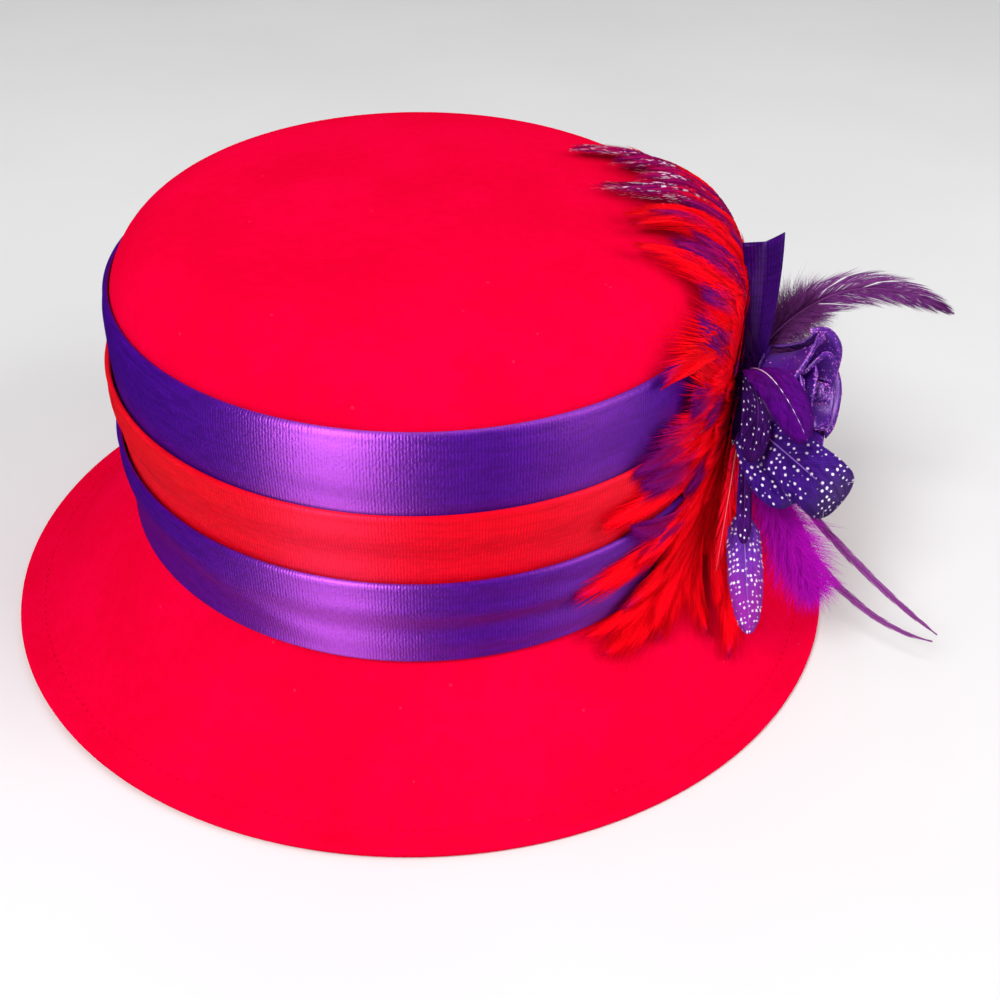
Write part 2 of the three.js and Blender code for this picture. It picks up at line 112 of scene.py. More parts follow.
class Signal:
    """One number on a node socket, so that node maths reads as Python."""

    def __init__(self, board: Board, socket: Socket) -> None:
        """Keeps the socket and the board that its maths is added to."""
        self.board = board
        self.socket = socket

    def _math(self, operation: str, *terms: Signal | float) -> Signal:
        """Adds a Math node with its inputs in order, and gives its result."""
        node = self.board.add("ShaderNodeMath", {"operation": operation}, dict(enumerate(terms)))
        return Signal(self.board, node.outputs[0])

    def __add__(self, other: Signal | float) -> Signal:
        """Adds a number."""
        return self._math("ADD", self, other)

    def __radd__(self, other: float) -> Signal:
        """Adds this to a number."""
        return self._math("ADD", other, self)

    def __sub__(self, other: Signal | float) -> Signal:
        """Takes a number away."""
        return self._math("SUBTRACT", self, other)

    def __rsub__(self, other: float) -> Signal:
        """Takes this from a number."""
        return self._math("SUBTRACT", other, self)

    def __mul__(self, other: Signal | float) -> Signal:
        """Multiplies by a number."""
        return self._math("MULTIPLY", self, other)

    def __rmul__(self, other: float) -> Signal:
        """Multiplies a number by this."""
        return self._math("MULTIPLY", other, self)

    def sine(self) -> Signal:
        """Gives the sine."""
        return self._math("SINE", self)

    def ease(self, low: float | Signal, high: float | Signal) -> Signal:
        """Eases from 0 at low to 1 at high.

        Args:
            low: Where the result leaves 0.
            high: Where the result reaches 1.

        Returns:
            The eased number.
        """
        settings = {"interpolation_type": "SMOOTHSTEP"}
        node = self.board.add(
            "ShaderNodeMapRange", settings, {"Value": self, "From Min": low, "From Max": high}
        )
        return Signal(self.board, node.outputs[0])


class Board:
    """A node tree that is filled from code, for shaders and for geometry alike."""

    def __init__(self, tree: bpy.types.NodeTree) -> None:
        """Keeps the tree."""
        self.tree = tree

    @staticmethod
    def pick(sockets: bpy.types.bpy_prop_collection, key: str | int) -> Socket:
        """Finds a socket by its place, or the one in use by its name.

        Args:
            sockets: A node's inputs or outputs.
            key: The place or the name.

        Returns:
            The socket.
        """
        if isinstance(key, int):
            return sockets[key]
        return next(socket for socket in sockets if socket.name == key and socket.enabled)

    def feed(self, socket: Socket, value: NodeValue) -> None:
        """Links an input to a signal or a socket, or sets a plain value on it.

        Args:
            socket: The input.
            value: What it gets. A colour has three parts.
        """
        source = value.socket if isinstance(value, Signal) else value
        if isinstance(source, Socket):
            self.tree.links.new(source, socket)
        elif socket.type == "RGBA" and len(source) == 3:
            socket.default_value = (*source, 1.0)
        else:
            socket.default_value = source

    def add(
        self,
        kind: str,
        settings: dict[str, object] | None = None,
        inputs: dict[str | int, NodeValue] | None = None,
    ) -> bpy.types.Node:
        """Adds a node, sets it up and feeds its sockets.

        Args:
            kind: The node's type.
            settings: Its properties, which are set first.
            inputs: Values or links by socket name or place.

        Returns:
            The node.
        """
        node = self.tree.nodes.new(kind)
        for name, value in (settings or {}).items():
            setattr(node, name, value)
        for key, value in (inputs or {}).items():
            self.feed(self.pick(node.inputs, key), value)
        return node

    def first(self, kind: str, *setup: dict | None) -> Socket:
        """Adds a node, set up as for add, and gives its first output."""
        return self.add(kind, *setup).outputs[0]

    def number(self, kind: str, output: str | int, *setup: dict | None) -> Signal:
        """Adds a node, set up as for add, and gives one of its outputs as a number."""
        return Signal(self, self.pick(self.add(kind, *setup).outputs, output))

    def parts(self, vector: Socket) -> tuple[Signal, Signal, Signal]:
        """Takes a vector apart into its three numbers."""
        node = self.add("ShaderNodeSeparateXYZ", None, {0: vector})
        return tuple(Signal(self, socket) for socket in node.outputs)

    def vector(self, x: Signal | float, y: Signal | float, z: Signal | float) -> Socket:
        """Joins three numbers into a vector."""
        return self.first("ShaderNodeCombineXYZ", None, {0: x, 1: y, 2: z})


class Shader(Board):
    """A material on one Principled shader."""

    def __init__(self, name: str) -> None:
        """Makes the material with its shader and output."""
        self.material = bpy.data.materials.new(name)
        self.material.use_nodes = True
        super().__init__(self.material.node_tree)
        self.tree.nodes.clear()
        self.surface = self.add("ShaderNodeBsdfPrincipled")
        self.add("ShaderNodeOutputMaterial", None, {"Surface": self.surface.outputs[0]})

    def place(self) -> Socket:
        """Gives the Object coordinates, in metres."""
        return self.pick(self.add("ShaderNodeTexCoord").outputs, "Object")

    def flat(self) -> Socket:
        """Gives the piece's own UV map, in metres."""
        return self.pick(self.add("ShaderNodeTexCoord").outputs, "UV")

    def value(self, attribute: str) -> Signal:
        """Gives a number that is kept on the mesh."""
        return self.number("ShaderNodeAttribute", "Fac", {"attribute_name": attribute})

    def stretch(self, vector: Socket, scale: Triple) -> Socket:
        """Scales a pattern's coordinates."""
        return self.first("ShaderNodeMapping", None, {"Vector": vector, "Scale": scale})

    def noise(self, vector: Socket, scale: float, detail: float = 2.0) -> Signal:
        """Gives noise round one half, with scale features in a metre and detail octaves."""
        inputs = {"Vector": vector, "Scale": scale, "Detail": detail}
        return self.number("ShaderNodeTexNoise", "Fac", None, inputs)

    def spots(self, vector: Socket, scale: float, randomness: float) -> Signal:
        """Gives the distance, in cells, to the nearest of many points, on a grid at randomness 0."""
        inputs = {"Vector": vector, "Scale": scale, "Randomness": randomness}
        return self.number("ShaderNodeTexVoronoi", "Distance", None, inputs)

    def blend(self, share: Signal, start: NodeValue, end: NodeValue) -> Socket:
        """Goes from one colour to another.

        Args:
            share: 0 for the first colour and 1 for the second.
            start: The first colour.
            end: The second colour.

        Returns:
            The colour.
        """
        inputs = {"Factor": share, "A": start, "B": end}
        node = self.add("ShaderNodeMix", {"data_type": "RGBA"}, inputs)
        return self.pick(node.outputs, "Result")

    def bump(self, height: Signal, strength: float, depth: float) -> Socket:
        """Turns a height from about 0 to 1 into a normal, where 1 stands for a depth in metres."""
        inputs = {"Height": height, "Strength": strength, "Distance": depth}
        return self.first("ShaderNodeBump", None, inputs)

    def dress(self, sockets: dict[str, NodeValue]) -> Material:
        """Feeds the shader.

        Args:
            sockets: Values or links by socket name.

        Returns:
            The material.
        """
        for name, value in sockets.items():
            self.feed(self.pick(self.surface.inputs, name), value)
        return self.material


@dataclass(frozen=True)
class FeltFinish:
    """Wool felt: matte and softly mottled, with a short nap and specks of lint, counted in a metre."""

    name: str = "red wool felt"
    deep: Triple = (0.66, 0.0003, 0.022)
    bright: Triple = (0.74, 0.0004, 0.036)
    lint: Triple = (0.92, 0.04, 0.10)
    sheen: Triple = (1.0, 0.004, 0.06)
    patches: float = 34.0
    grain: float = 260.0
    nap: float = 1500.0
    lay: float = 620.0
    specks: float = 105.0
    depth: float = 0.35 * MM

    def material(self) -> Material:
        """Makes the material.

        Returns:
            The material.
        """
        shader = Shader(self.name)
        place = shader.place()
        mottle = shader.noise(place, self.patches, 3.0) * 0.65 + shader.noise(place, self.grain) * 0.35
        nap = shader.noise(place, self.nap)
        lay = shader.noise(shader.stretch(place, (1.0, 1.0, 0.35)), self.lay, 3.0)
        lint = 1.0 - shader.spots(place, self.specks, 1.0).ease(0.035, 0.06)
        colour = shader.blend(mottle.ease(0.28, 0.72), self.deep, self.bright)
        colour = shader.blend(nap.ease(0.45, 0.75) * 0.3, colour, self.deep)
        colour = shader.blend(lint * 0.18, colour, self.lint)
        height = nap * 0.6 + lay * 0.4
        return shader.dress({
            "Base Color": colour,
            "Roughness": 0.96,
            "Specular IOR Level": 0.0,
            "Sheen Weight": 0.2,
            "Sheen Roughness": 0.45,
            "Sheen Tint": self.sheen,
            "Normal": shader.bump(height, 0.5, self.depth),
        })


@dataclass(frozen=True)
class SatinFinish:
    """Polyester satin with fine ribs across the cloth, on UVs in metres, with threads counted in one."""

    name: str
    deep: Triple
    light: Triple
    gleam: Triple
    rib: float = 0.78 * MM
    roughness: float = 0.46
    stretch: float = 0.88
    level: float = 1.0
    grain: float = 2300.0
    slub: float = 900.0
    speck: float = 1300.0
    depth: float = 0.10 * MM

    def material(self) -> Material:
        """Makes the material.

        Returns:
            The material.
        """
        shader = Shader(self.name)
        cloth = shader.flat()
        along, _, _ = shader.parts(cloth)
        ribs = (along * (2.0 * math.pi / self.rib)).sine() * 0.5 + 0.5
        grain = shader.noise(shader.stretch(cloth, (1.0, 0.2, 1.0)), self.grain)
        slub = shader.noise(shader.stretch(cloth, (0.14, 1.0, 1.0)), self.slub)
        speck = shader.noise(cloth, self.speck, 1.0)
        thread = ribs * 0.5 + grain * 0.7
        colour = shader.blend(thread.ease(0.35, 1.0) * slub.ease(0.25, 0.7), self.deep, self.light)
        return shader.dress({
            "Base Color": colour,
            "Roughness": grain * 0.16 + (self.roughness - 0.08),
            "IOR": 1.8,
            "Specular IOR Level": self.level,
            "Specular Tint": self.gleam,
            "Anisotropic": self.stretch,
            "Anisotropic Rotation": 0.25,
            "Normal": shader.bump(ribs * 0.3 + grain * 0.4 + speck * 1.3, 0.5, self.depth),
        })


class Marking(Enum):
    """What a feather's barbs carry."""

    PLAIN = "plain"
    TIPPED = "tipped"
    DOTTED = "dotted"


@dataclass(frozen=True)
class FeatherFinish:
    """Barbs and shaft of a dyed feather, with optional painted shade towards the root. The mesh keeps each
    barb's place, tone and tip share.
    """

    name: str
    deep: Triple
    bright: Triple
    tip: Triple
    quill: Triple
    pale: Triple = (0.50, 0.16, 0.42)
    dot: Triple = (0.83, 0.74, 0.95)
    marking: Marking = Marking.PLAIN
    dot_pitch: float = 2.5 * MM
    dot_size: float = 0.30
    roughness: float = 0.48
    # Painted shade: how far each feather's inner half is darkened towards its root.
    painted_root_shade: float = 0.0
    streaks: float = 900.0

    def material(self) -> Material:
        """Makes the material.

        Returns:
            The material.
        """
        shader = Shader(self.name)
        place, along, tone = (shader.value(name) for name in ("place", "along", "tone"))
        tipped, dotted, quill = (shader.value(name) for name in ("tip", "dots", "quill"))
        web = shader.flat()
        streak = shader.noise(shader.stretch(web, (0.4, 1.0, 1.0)), self.streaks)
        colour = shader.blend((tone * 0.6 + streak * 0.6).ease(0.3, 0.9), self.deep, self.bright)
        reach = place + along * 0.22
        # Painted shade: the inner part of each feather is blended towards a far darker copy of its deep
        # colour, standing in for the shadow between the layers.
        depth = (1.0 - reach.ease(0.05, 0.5)) * self.painted_root_shade
        colour = shader.blend(depth, colour, tuple(0.12 * part for part in self.deep))
        if self.marking is not Marking.PLAIN:
            edge = 1.0 - tipped + (tone - 0.5) * 0.16
            colour = shader.blend(reach.ease(edge - 0.12, edge + 0.24), colour, self.tip)
            dots = 1.0 - shader.spots(web, 1.0 / self.dot_pitch, 0.45).ease(
                self.dot_size - 0.04, self.dot_size + 0.04
            )
            colour = shader.blend(dots * dotted, colour, self.dot)
        shaft = shader.blend(tipped.ease(0.30, 0.34), self.quill, self.pale)
        colour = shader.blend(quill, colour, shaft)
        return shader.dress({
            "Base Color": colour,
            "Roughness": streak * 0.2 + (self.roughness - 0.1),
            "Specular IOR Level": 0.15,
            "Specular Tint": self.bright,
            "Sheen Weight": 0.5,
            "Sheen Tint": self.bright,
        })


@dataclass(frozen=True)
class GlitterFinish:
    """Loose foil glitter, from violet to pale pink."""

    name: str = "foil glitter"
    violet: Triple = (0.40, 0.04, 0.72)
    pink: Triple = (0.95, 0.28, 0.80)

    def material(self) -> Material:
        """Makes the material.

        Returns:
            The material.
        """
        shader = Shader(self.name)
        tone = shader.value("tone")
        return shader.dress({
            "Base Color": shader.blend(tone, self.violet, self.pink),
            "Metallic": 0.15,
            "Roughness": 0.4 - tone * 0.15,
        })


@dataclass(frozen=True)
class ClothFinish:
    """Plain matte cloth or thread in one dyed colour, on Object coordinates."""

    name: str
    deep: Triple
    bright: Triple
    grain: float
    roughness: float = 0.8
    gloss: float = 0.15

    def material(self) -> Material:
        """Makes the material.

        Returns:
            The material.
        """
        shader = Shader(self.name)
        weave = shader.noise(shader.place(), self.grain, 3.0)
        return shader.dress({
            "Base Color": shader.blend(weave.ease(0.35, 0.65), self.deep, self.bright),
            "Roughness": weave * 0.1 + (self.roughness - 0.05),
            "Specular IOR Level": self.gloss,
            "Normal": shader.bump(weave, 0.4, 0.3 * MM),
        })


class Growth(Board):
    """A geometry node tree with named inputs, which ends in Realize Instances and Set Material."""

    SOCKETS = {float: "NodeSocketFloat", int: "NodeSocketInt"}

    def __init__(self, name: str, inputs: Sizes) -> None:
        """Makes the tree.

        Args:
            name: The tree's name.
            inputs: Its named sizes, with their usual values.
        """
        super().__init__(bpy.data.node_groups.new(name, "GeometryNodeTree"))
        self.names: dict[str, str] = {}
        self._open("Geometry", "NodeSocketGeometry")
        for label, value in inputs.items():
            self._open(label, self.SOCKETS[type(value)]).default_value = value
        self._open("Material", "NodeSocketMaterial")
        self.tree.interface.new_socket("Geometry", in_out="OUTPUT", socket_type="NodeSocketGeometry")
        self.entry = self.add("NodeGroupInput")

    def _open(self, label: str, kind: str) -> bpy.types.NodeTreeInterfaceSocket:
        """Opens one named input and keeps its identifier.

        Args:
            label: The input's name.
            kind: The socket's type.

        Returns:
            The input.
        """
        item = self.tree.interface.new_socket(label, in_out="INPUT", socket_type=kind)
        self.names[label] = item.identifier
        return item

    def given(self, label: str) -> Signal:
        """Gives a named input."""
        return Signal(self, self.pick(self.entry.outputs, label))

    def stored(self, name: str) -> Signal:
        """Gives a number that is kept on the geometry."""
        kind = "GeometryNodeInputNamedAttribute"
        return self.number(kind, "Attribute", {"data_type": "FLOAT"}, {"Name": name})

    def chance(self, low: float, high: float, salt: int) -> Signal:
        """Gives a random number for each element. The salt makes two draws on one seed differ."""
        inputs = {"Min": low, "Max": high, "Seed": self.given("Seed") + salt}
        return self.number("FunctionNodeRandomValue", "Value", {"data_type": "FLOAT"}, inputs)

    def keep(self, geometry: Socket, name: str, value: Signal | float, domain: str = "POINT") -> Socket:
        """Keeps a number on a geometry.

        Args:
            geometry: The geometry.
            name: The number's name.
            value: The number.
            domain: Where it is kept.

        Returns:
            The geometry with the number.
        """
        settings = {"data_type": "FLOAT", "domain": domain}
        inputs = {"Geometry": geometry, "Name": name, "Value": value}
        return self.first("GeometryNodeStoreNamedAttribute", settings, inputs)

    def turned(self, x: Signal | float, y: Signal | float, z: Signal | float) -> Socket:
        """Makes a rotation of three angles."""
        return self.first("FunctionNodeEulerToRotation", None, {0: self.vector(x, y, z)})

    def twisted(self, start: Socket, twist: Socket) -> Socket:
        """Adds a twist to a rotation, in that rotation's own frame."""
        settings = {"rotation_space": "LOCAL"}
        return self.first("FunctionNodeRotateRotation", settings, {0: start, 1: twist})

    def close(self, pieces: Sequence[Socket], offset: Socket | None = None) -> None:
        """Ends the tree.

        Args:
            pieces: What is joined.
            offset: How far each point of the realized mesh moves, if it does.
        """
        joined = self.add("GeometryNodeJoinGeometry")
        for piece in pieces:
            self.tree.links.new(piece, joined.inputs[0])
        geometry = self.first("GeometryNodeRealizeInstances", None, {"Geometry": joined.outputs[0]})
        if offset is not None:
            geometry = self.first("GeometryNodeSetPosition", None, {0: geometry, "Offset": offset})
        material = self.pick(self.entry.outputs, "Material")
        dressed = {"Geometry": geometry, "Material": material}
        self.add("NodeGroupOutput", None, {0: self.first("GeometryNodeSetMaterial", None, dressed)})

    def grow(self, name: str, start: bpy.types.Mesh, material: Material, sizes: Sizes) -> bpy.types.Object:
        """Runs the tree on a mesh and keeps the result as a plain mesh.

        Args:
            name: The piece's name.
            start: What the tree starts from.
            material: The piece's material.
            sizes: Values of the named inputs.

        Returns:
            The piece.
        """
        piece = bpy.data.objects.new(name, start)
        bpy.context.scene.collection.objects.link(piece)
        modifier = piece.modifiers.new(name, "NODES")
        modifier.node_group = self.tree
        for label, value in {**sizes, "Material": material}.items():
            modifier[self.names[label]] = value
        graph = bpy.context.evaluated_depsgraph_get()
        grown = bpy.data.meshes.new_from_object(
            piece.evaluated_get(graph), preserve_all_data_layers=True, depsgraph=graph
        )
        piece.modifiers.remove(modifier)
        piece.data = grown
        grown.name = name
        bpy.data.meshes.remove(start)
        grown.shade_smooth()
        return piece


def feather_growth() -> Growth:
    """Makes the tree that grows shafts along edges and a tapered barb on each root point.

    Returns:
        The tree. Roots keep turn, roll, pitch, reach, width and bow; shaft points keep thick.
    """
    growth = Growth("feather", {
        "Barb Ridge": 0.4, "Barb Tip": 0.0, "Barb Steps": 3, "Turn Jitter": 0.05, "Reach Jitter": 0.08,
        "Seed": 1,
    })
    sizes = {"Vertices": 3, "Radius Bottom": 1.0, "Depth": 1.0}
    sizes["Radius Top"] = growth.given("Barb Tip")
    sizes["Side Segments"] = growth.given("Barb Steps")
    cone = growth.first("GeometryNodeMeshCone", {"fill_type": "NGON"}, sizes)
    across, rise, along = growth.parts(growth.first("GeometryNodeInputPosition"))
    barb = growth.keep(cone, "along", along)
    taper = 1.0 + along + along * along
    shaped = growth.vector(along, across * taper, rise * taper * growth.given("Barb Ridge"))
    barb = growth.first("GeometryNodeSetPosition", None, {0: barb, "Position": shaped})
    turn = growth.stored("turn") + growth.chance(-1.0, 1.0, 1) * growth.given("Turn Jitter")
    reach = growth.stored("reach") * (1.0 + growth.chance(-1.0, 1.0, 2) * growth.given("Reach Jitter"))
    width = growth.stored("width")
    roots = {
        "Points": growth.given("Geometry"),
        "Selection": growth.stored("barb"),
        "Instance": barb,
        "Rotation": growth.turned(growth.stored("roll"), growth.stored("pitch"), turn),
        "Scale": growth.vector(reach, width, width),
    }
    barbs = growth.first("GeometryNodeInstanceOnPoints", None, roots)
    paths = growth.first("GeometryNodeMeshToCurve", None, {0: growth.given("Geometry")})
    ring = growth.first("GeometryNodeCurvePrimitiveCircle", None, {"Resolution": 5, "Radius": 1.0})
    tube = {"Curve": paths, "Profile Curve": ring, "Scale": growth.stored("thick"), "Fill Caps": True}
    shafts = growth.keep(growth.first("GeometryNodeCurveToMesh", None, tube), "quill", 1.0)
    bow = growth.vector(growth.stored("bow_x"), growth.stored("bow_y"), growth.stored("bow_z"))
    bend = {0: bow, "Scale": growth.stored("along") * growth.stored("along")}
    growth.close([barbs, shafts], growth.first("ShaderNodeVectorMath", {"operation": "SCALE"}, bend))
    return growth


def stitch_growth() -> Growth:
    """Makes the tree that sews long stitches round a closed path.

    Returns:
        The tree.
    """
    growth = Growth("stitches", {"Stitches": 240, "Thread": 0.0003, "Length": 0.001, "Seed": 1})
    path = growth.first("GeometryNodeMeshToCurve", None, {0: growth.given("Geometry")})
    spacing = {"Curve": path, "Count": growth.given("Stitches")}
    spaced = growth.first("GeometryNodeResampleCurve", None, spacing)
    ball = growth.first("GeometryNodeMeshUVSphere", None, {"Segments": 6, "Rings": 5, "Radius": 1.0})
    tangent = growth.first("GeometryNodeInputTangent")
    aim = growth.first("FunctionNodeAlignRotationToVector", {"axis": "X"}, {"Vector": tangent})
    lean = growth.turned(0.0, 0.0, growth.chance(-0.12, 0.12, 1))
    turn = growth.twisted(aim, lean)
    thread = growth.given("Thread")
    sewn = growth.first("GeometryNodeInstanceOnPoints", None, {
        "Points": spaced,
        "Instance": ball,
        "Rotation": turn,
        "Scale": growth.vector(growth.given("Length") * growth.chance(0.85, 1.1, 2), thread, thread),
    })
    growth.close([sewn])
    return growth


def glitter_growth() -> Growth:
    """Makes the tree that strews small flakes over the parts of a mesh that keep glitter.

    Returns:
        The tree.
    """
    growth = Growth("glitter", {"Density": 1.0, "Flake": 0.0003, "Seed": 1})
    density = growth.given("Density") * growth.stored("glitter")
    strewn = growth.add("GeometryNodeDistributePointsOnFaces", None, {
        "Mesh": growth.given("Geometry"), "Density": density, "Seed": growth.given("Seed"),
    })
    disc = {"Vertices": 5, "Radius": 1.0, "Depth": 0.35}
    flake = growth.first("GeometryNodeMeshCylinder", {"fill_type": "NGON"}, disc)
    lean_x, lean_y = (growth.chance(-0.6, 0.6, salt) for salt in (1, 2))
    turn = growth.twisted(
        strewn.outputs["Rotation"], growth.turned(lean_x, lean_y, growth.chance(0.0, 6.3, 3))
    )
    size = growth.given("Flake") * growth.chance(0.6, 1.3, 4)
    flakes = growth.first("GeometryNodeInstanceOnPoints", None, {
        "Points": strewn.outputs["Points"],
        "Instance": flake,
        "Rotation": turn,
        "Scale": growth.vector(size, size, size),
    })
    growth.close([growth.keep(flakes, "tone", growth.chance(0.0, 1.0, 5), "INSTANCE")])
    return growth


class Skin:
    """Faces gathered from grids of points, with their UVs, for one closed mesh."""

    def __init__(self) -> None:
        """Starts with no faces."""
        self.points: list[np.ndarray] = []
        self.faces: list[np.ndarray] = []
        self.uvs: list[np.ndarray] = []
        self.marks: list[np.ndarray] = []
        self.count = 0

    def grid(
        self,
        points: np.ndarray,
        uv: np.ndarray,
        wrap: tuple[bool, bool] = (False, False),
        mark: np.ndarray | None = None,
    ) -> None:
        """Adds a grid of quads.

        Args:
            points: Rows and columns of points.
            uv: Rows and columns of UVs, with one more where the grid closes on itself.
            wrap: Whether the rows and the columns close.
            mark: A number for each point, 0 where it isn't given.
        """
        rows, columns = points.shape[:2]
        index = np.arange(rows * columns).reshape(rows, columns)
        for axis, closes in enumerate(wrap):
            if closes:
                index = np.concatenate([index, np.take(index, [0], axis)], axis)
        self._quads(index, uv)
        self._keep(points.reshape(-1, 3), mark)

    def slab(
        self, middle: np.ndarray, thick: float, uv: np.ndarray, mark: np.ndarray | None = None
    ) -> None:
        """Adds a sheet with a wall thickness and a rounded rim.

        Args:
            middle: Rows and columns of points on the sheet's middle.
            thick: Its wall, in metres.
            uv: Rows and columns of UVs.
            mark: A number for each point.
        """
        rows, columns = middle.shape[:2]
        down = np.gradient(middle, axis=0)
        side = np.gradient(middle, axis=1)
        normal = np.cross(down, side)
        normal /= np.maximum(np.linalg.norm(normal, axis=2, keepdims=True), 1e-12)
        row_edge = np.minimum(np.arange(rows), np.arange(rows)[::-1])[:, None]
        column_edge = np.minimum(np.arange(columns), np.arange(columns)[::-1])[None, :]
        rim = np.minimum(row_edge, column_edge)
        half = thick / 2 * np.where(rim == 0, 0.45, np.where(rim == 1, 0.85, 1.0))[..., None]
        index = np.arange(rows * columns).reshape(rows, columns)
        self._quads(index, uv)
        self._quads(index[::-1] + rows * columns, uv[::-1])
        border = np.concatenate([index[0, :-1], index[:-1, -1], index[-1, :0:-1], index[:0:-1, 0]])
        around = np.stack([border, np.roll(border, -1)], axis=1)
        walls = np.concatenate([around[:, ::-1], around + rows * columns], axis=1)
        flat = uv.reshape(-1, 2)
        self.faces.append(walls + self.count)
        self.uvs.append(flat[walls % (rows * columns)])
        sides = ((middle + normal * half).reshape(-1, 3), (middle - normal * half).reshape(-1, 3))
        self._keep(np.concatenate(sides), None if mark is None else np.tile(mark.ravel(), 2))

    def _quads(self, index: np.ndarray, uv: np.ndarray) -> None:
        """Adds the quads between neighbouring rows and columns.

        Args:
            index: Rows and columns of point numbers.
            uv: Their UVs.
        """
        corners = ((slice(None, -1), slice(None, -1)), (slice(1, None), slice(None, -1)),
                   (slice(1, None), slice(1, None)), (slice(None, -1), slice(1, None)))
        self.faces.append(np.stack([index[c] for c in corners], axis=-1).reshape(-1, 4) + self.count)
        self.uvs.append(np.stack([uv[c] for c in corners], axis=2).reshape(-1, 4, 2))

    def _keep(self, points: np.ndarray, mark: np.ndarray | None) -> None:
        """Keeps points and their marks.

        Args:
            points: Rows of points.
            mark: A number for each of them, 0 where it isn't given.
        """
        self.points.append(points)
        self.marks.append(np.zeros(len(points)) if mark is None else np.ravel(mark))
        self.count += len(points)

    def mesh(self, name: str, mark: str | None = None) -> bpy.types.Mesh:
        """Makes the mesh, closes its seams and points its faces outwards.

        Args:
            name: The mesh's name.
            mark: What the points' numbers are called, if they are kept.

        Returns:
            The mesh.
        """
        mesh = bpy.data.meshes.new(name)
        mesh.from_pydata(np.concatenate(self.points).tolist(), [], np.concatenate(self.faces).tolist())
        layer = mesh.uv_layers.new(name="UVMap")
        layer.data.foreach_set("uv", np.concatenate(self.uvs).ravel())
        if mark:
            numbers = mesh.attributes.new(mark, "FLOAT", "POINT")
            numbers.data.foreach_set("value", np.concatenate(self.marks))
        work = bmesh.new()
        work.from_mesh(mesh)
        bmesh.ops.remove_doubles(work, verts=work.verts, dist=1e-7)
        bmesh.ops.recalc_face_normals(work, faces=work.faces)
        work.to_mesh(mesh)
        work.free()
        mesh.shade_smooth()
        return mesh


def add_piece(mesh: bpy.types.Mesh, material: Material) -> bpy.types.Object:
    """Puts a mesh in the scene.

    Args:
        mesh: The mesh, whose name the piece takes.
        material: Its material.

    Returns:
        The piece.
    """
    mesh.materials.append(material)
    piece = bpy.data.objects.new(mesh.name, mesh)
    bpy.context.scene.collection.objects.link(piece)
    return piece


def settle(piece: bpy.types.Object, slot: str, *nodes: str) -> None:
    """Ties a piece to the hat and reports it.

    Args:
        piece: The finished piece.
        slot: The record's material slot; not used.
        nodes: The solids that it stands for.
    """
    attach(piece, BODY)
    if nodes:
        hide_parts(*nodes)
    piece.data.calc_loop_triangles()
    LOG.info("%s: %d triangles", piece.name, len(piece.data.loop_triangles))


def ring_path(name: str, points: np.ndarray) -> bpy.types.Mesh:
    """Makes a closed path of edges.

    Args:
        name: The mesh's name.
        points: The path's points in order.

    Returns:
        The mesh.
    """
    count = len(points)
    edges = [(place, (place + 1) % count) for place in range(count)]
    mesh = bpy.data.meshes.new(name)
    mesh.from_pydata(points.tolist(), edges, [])
    return mesh


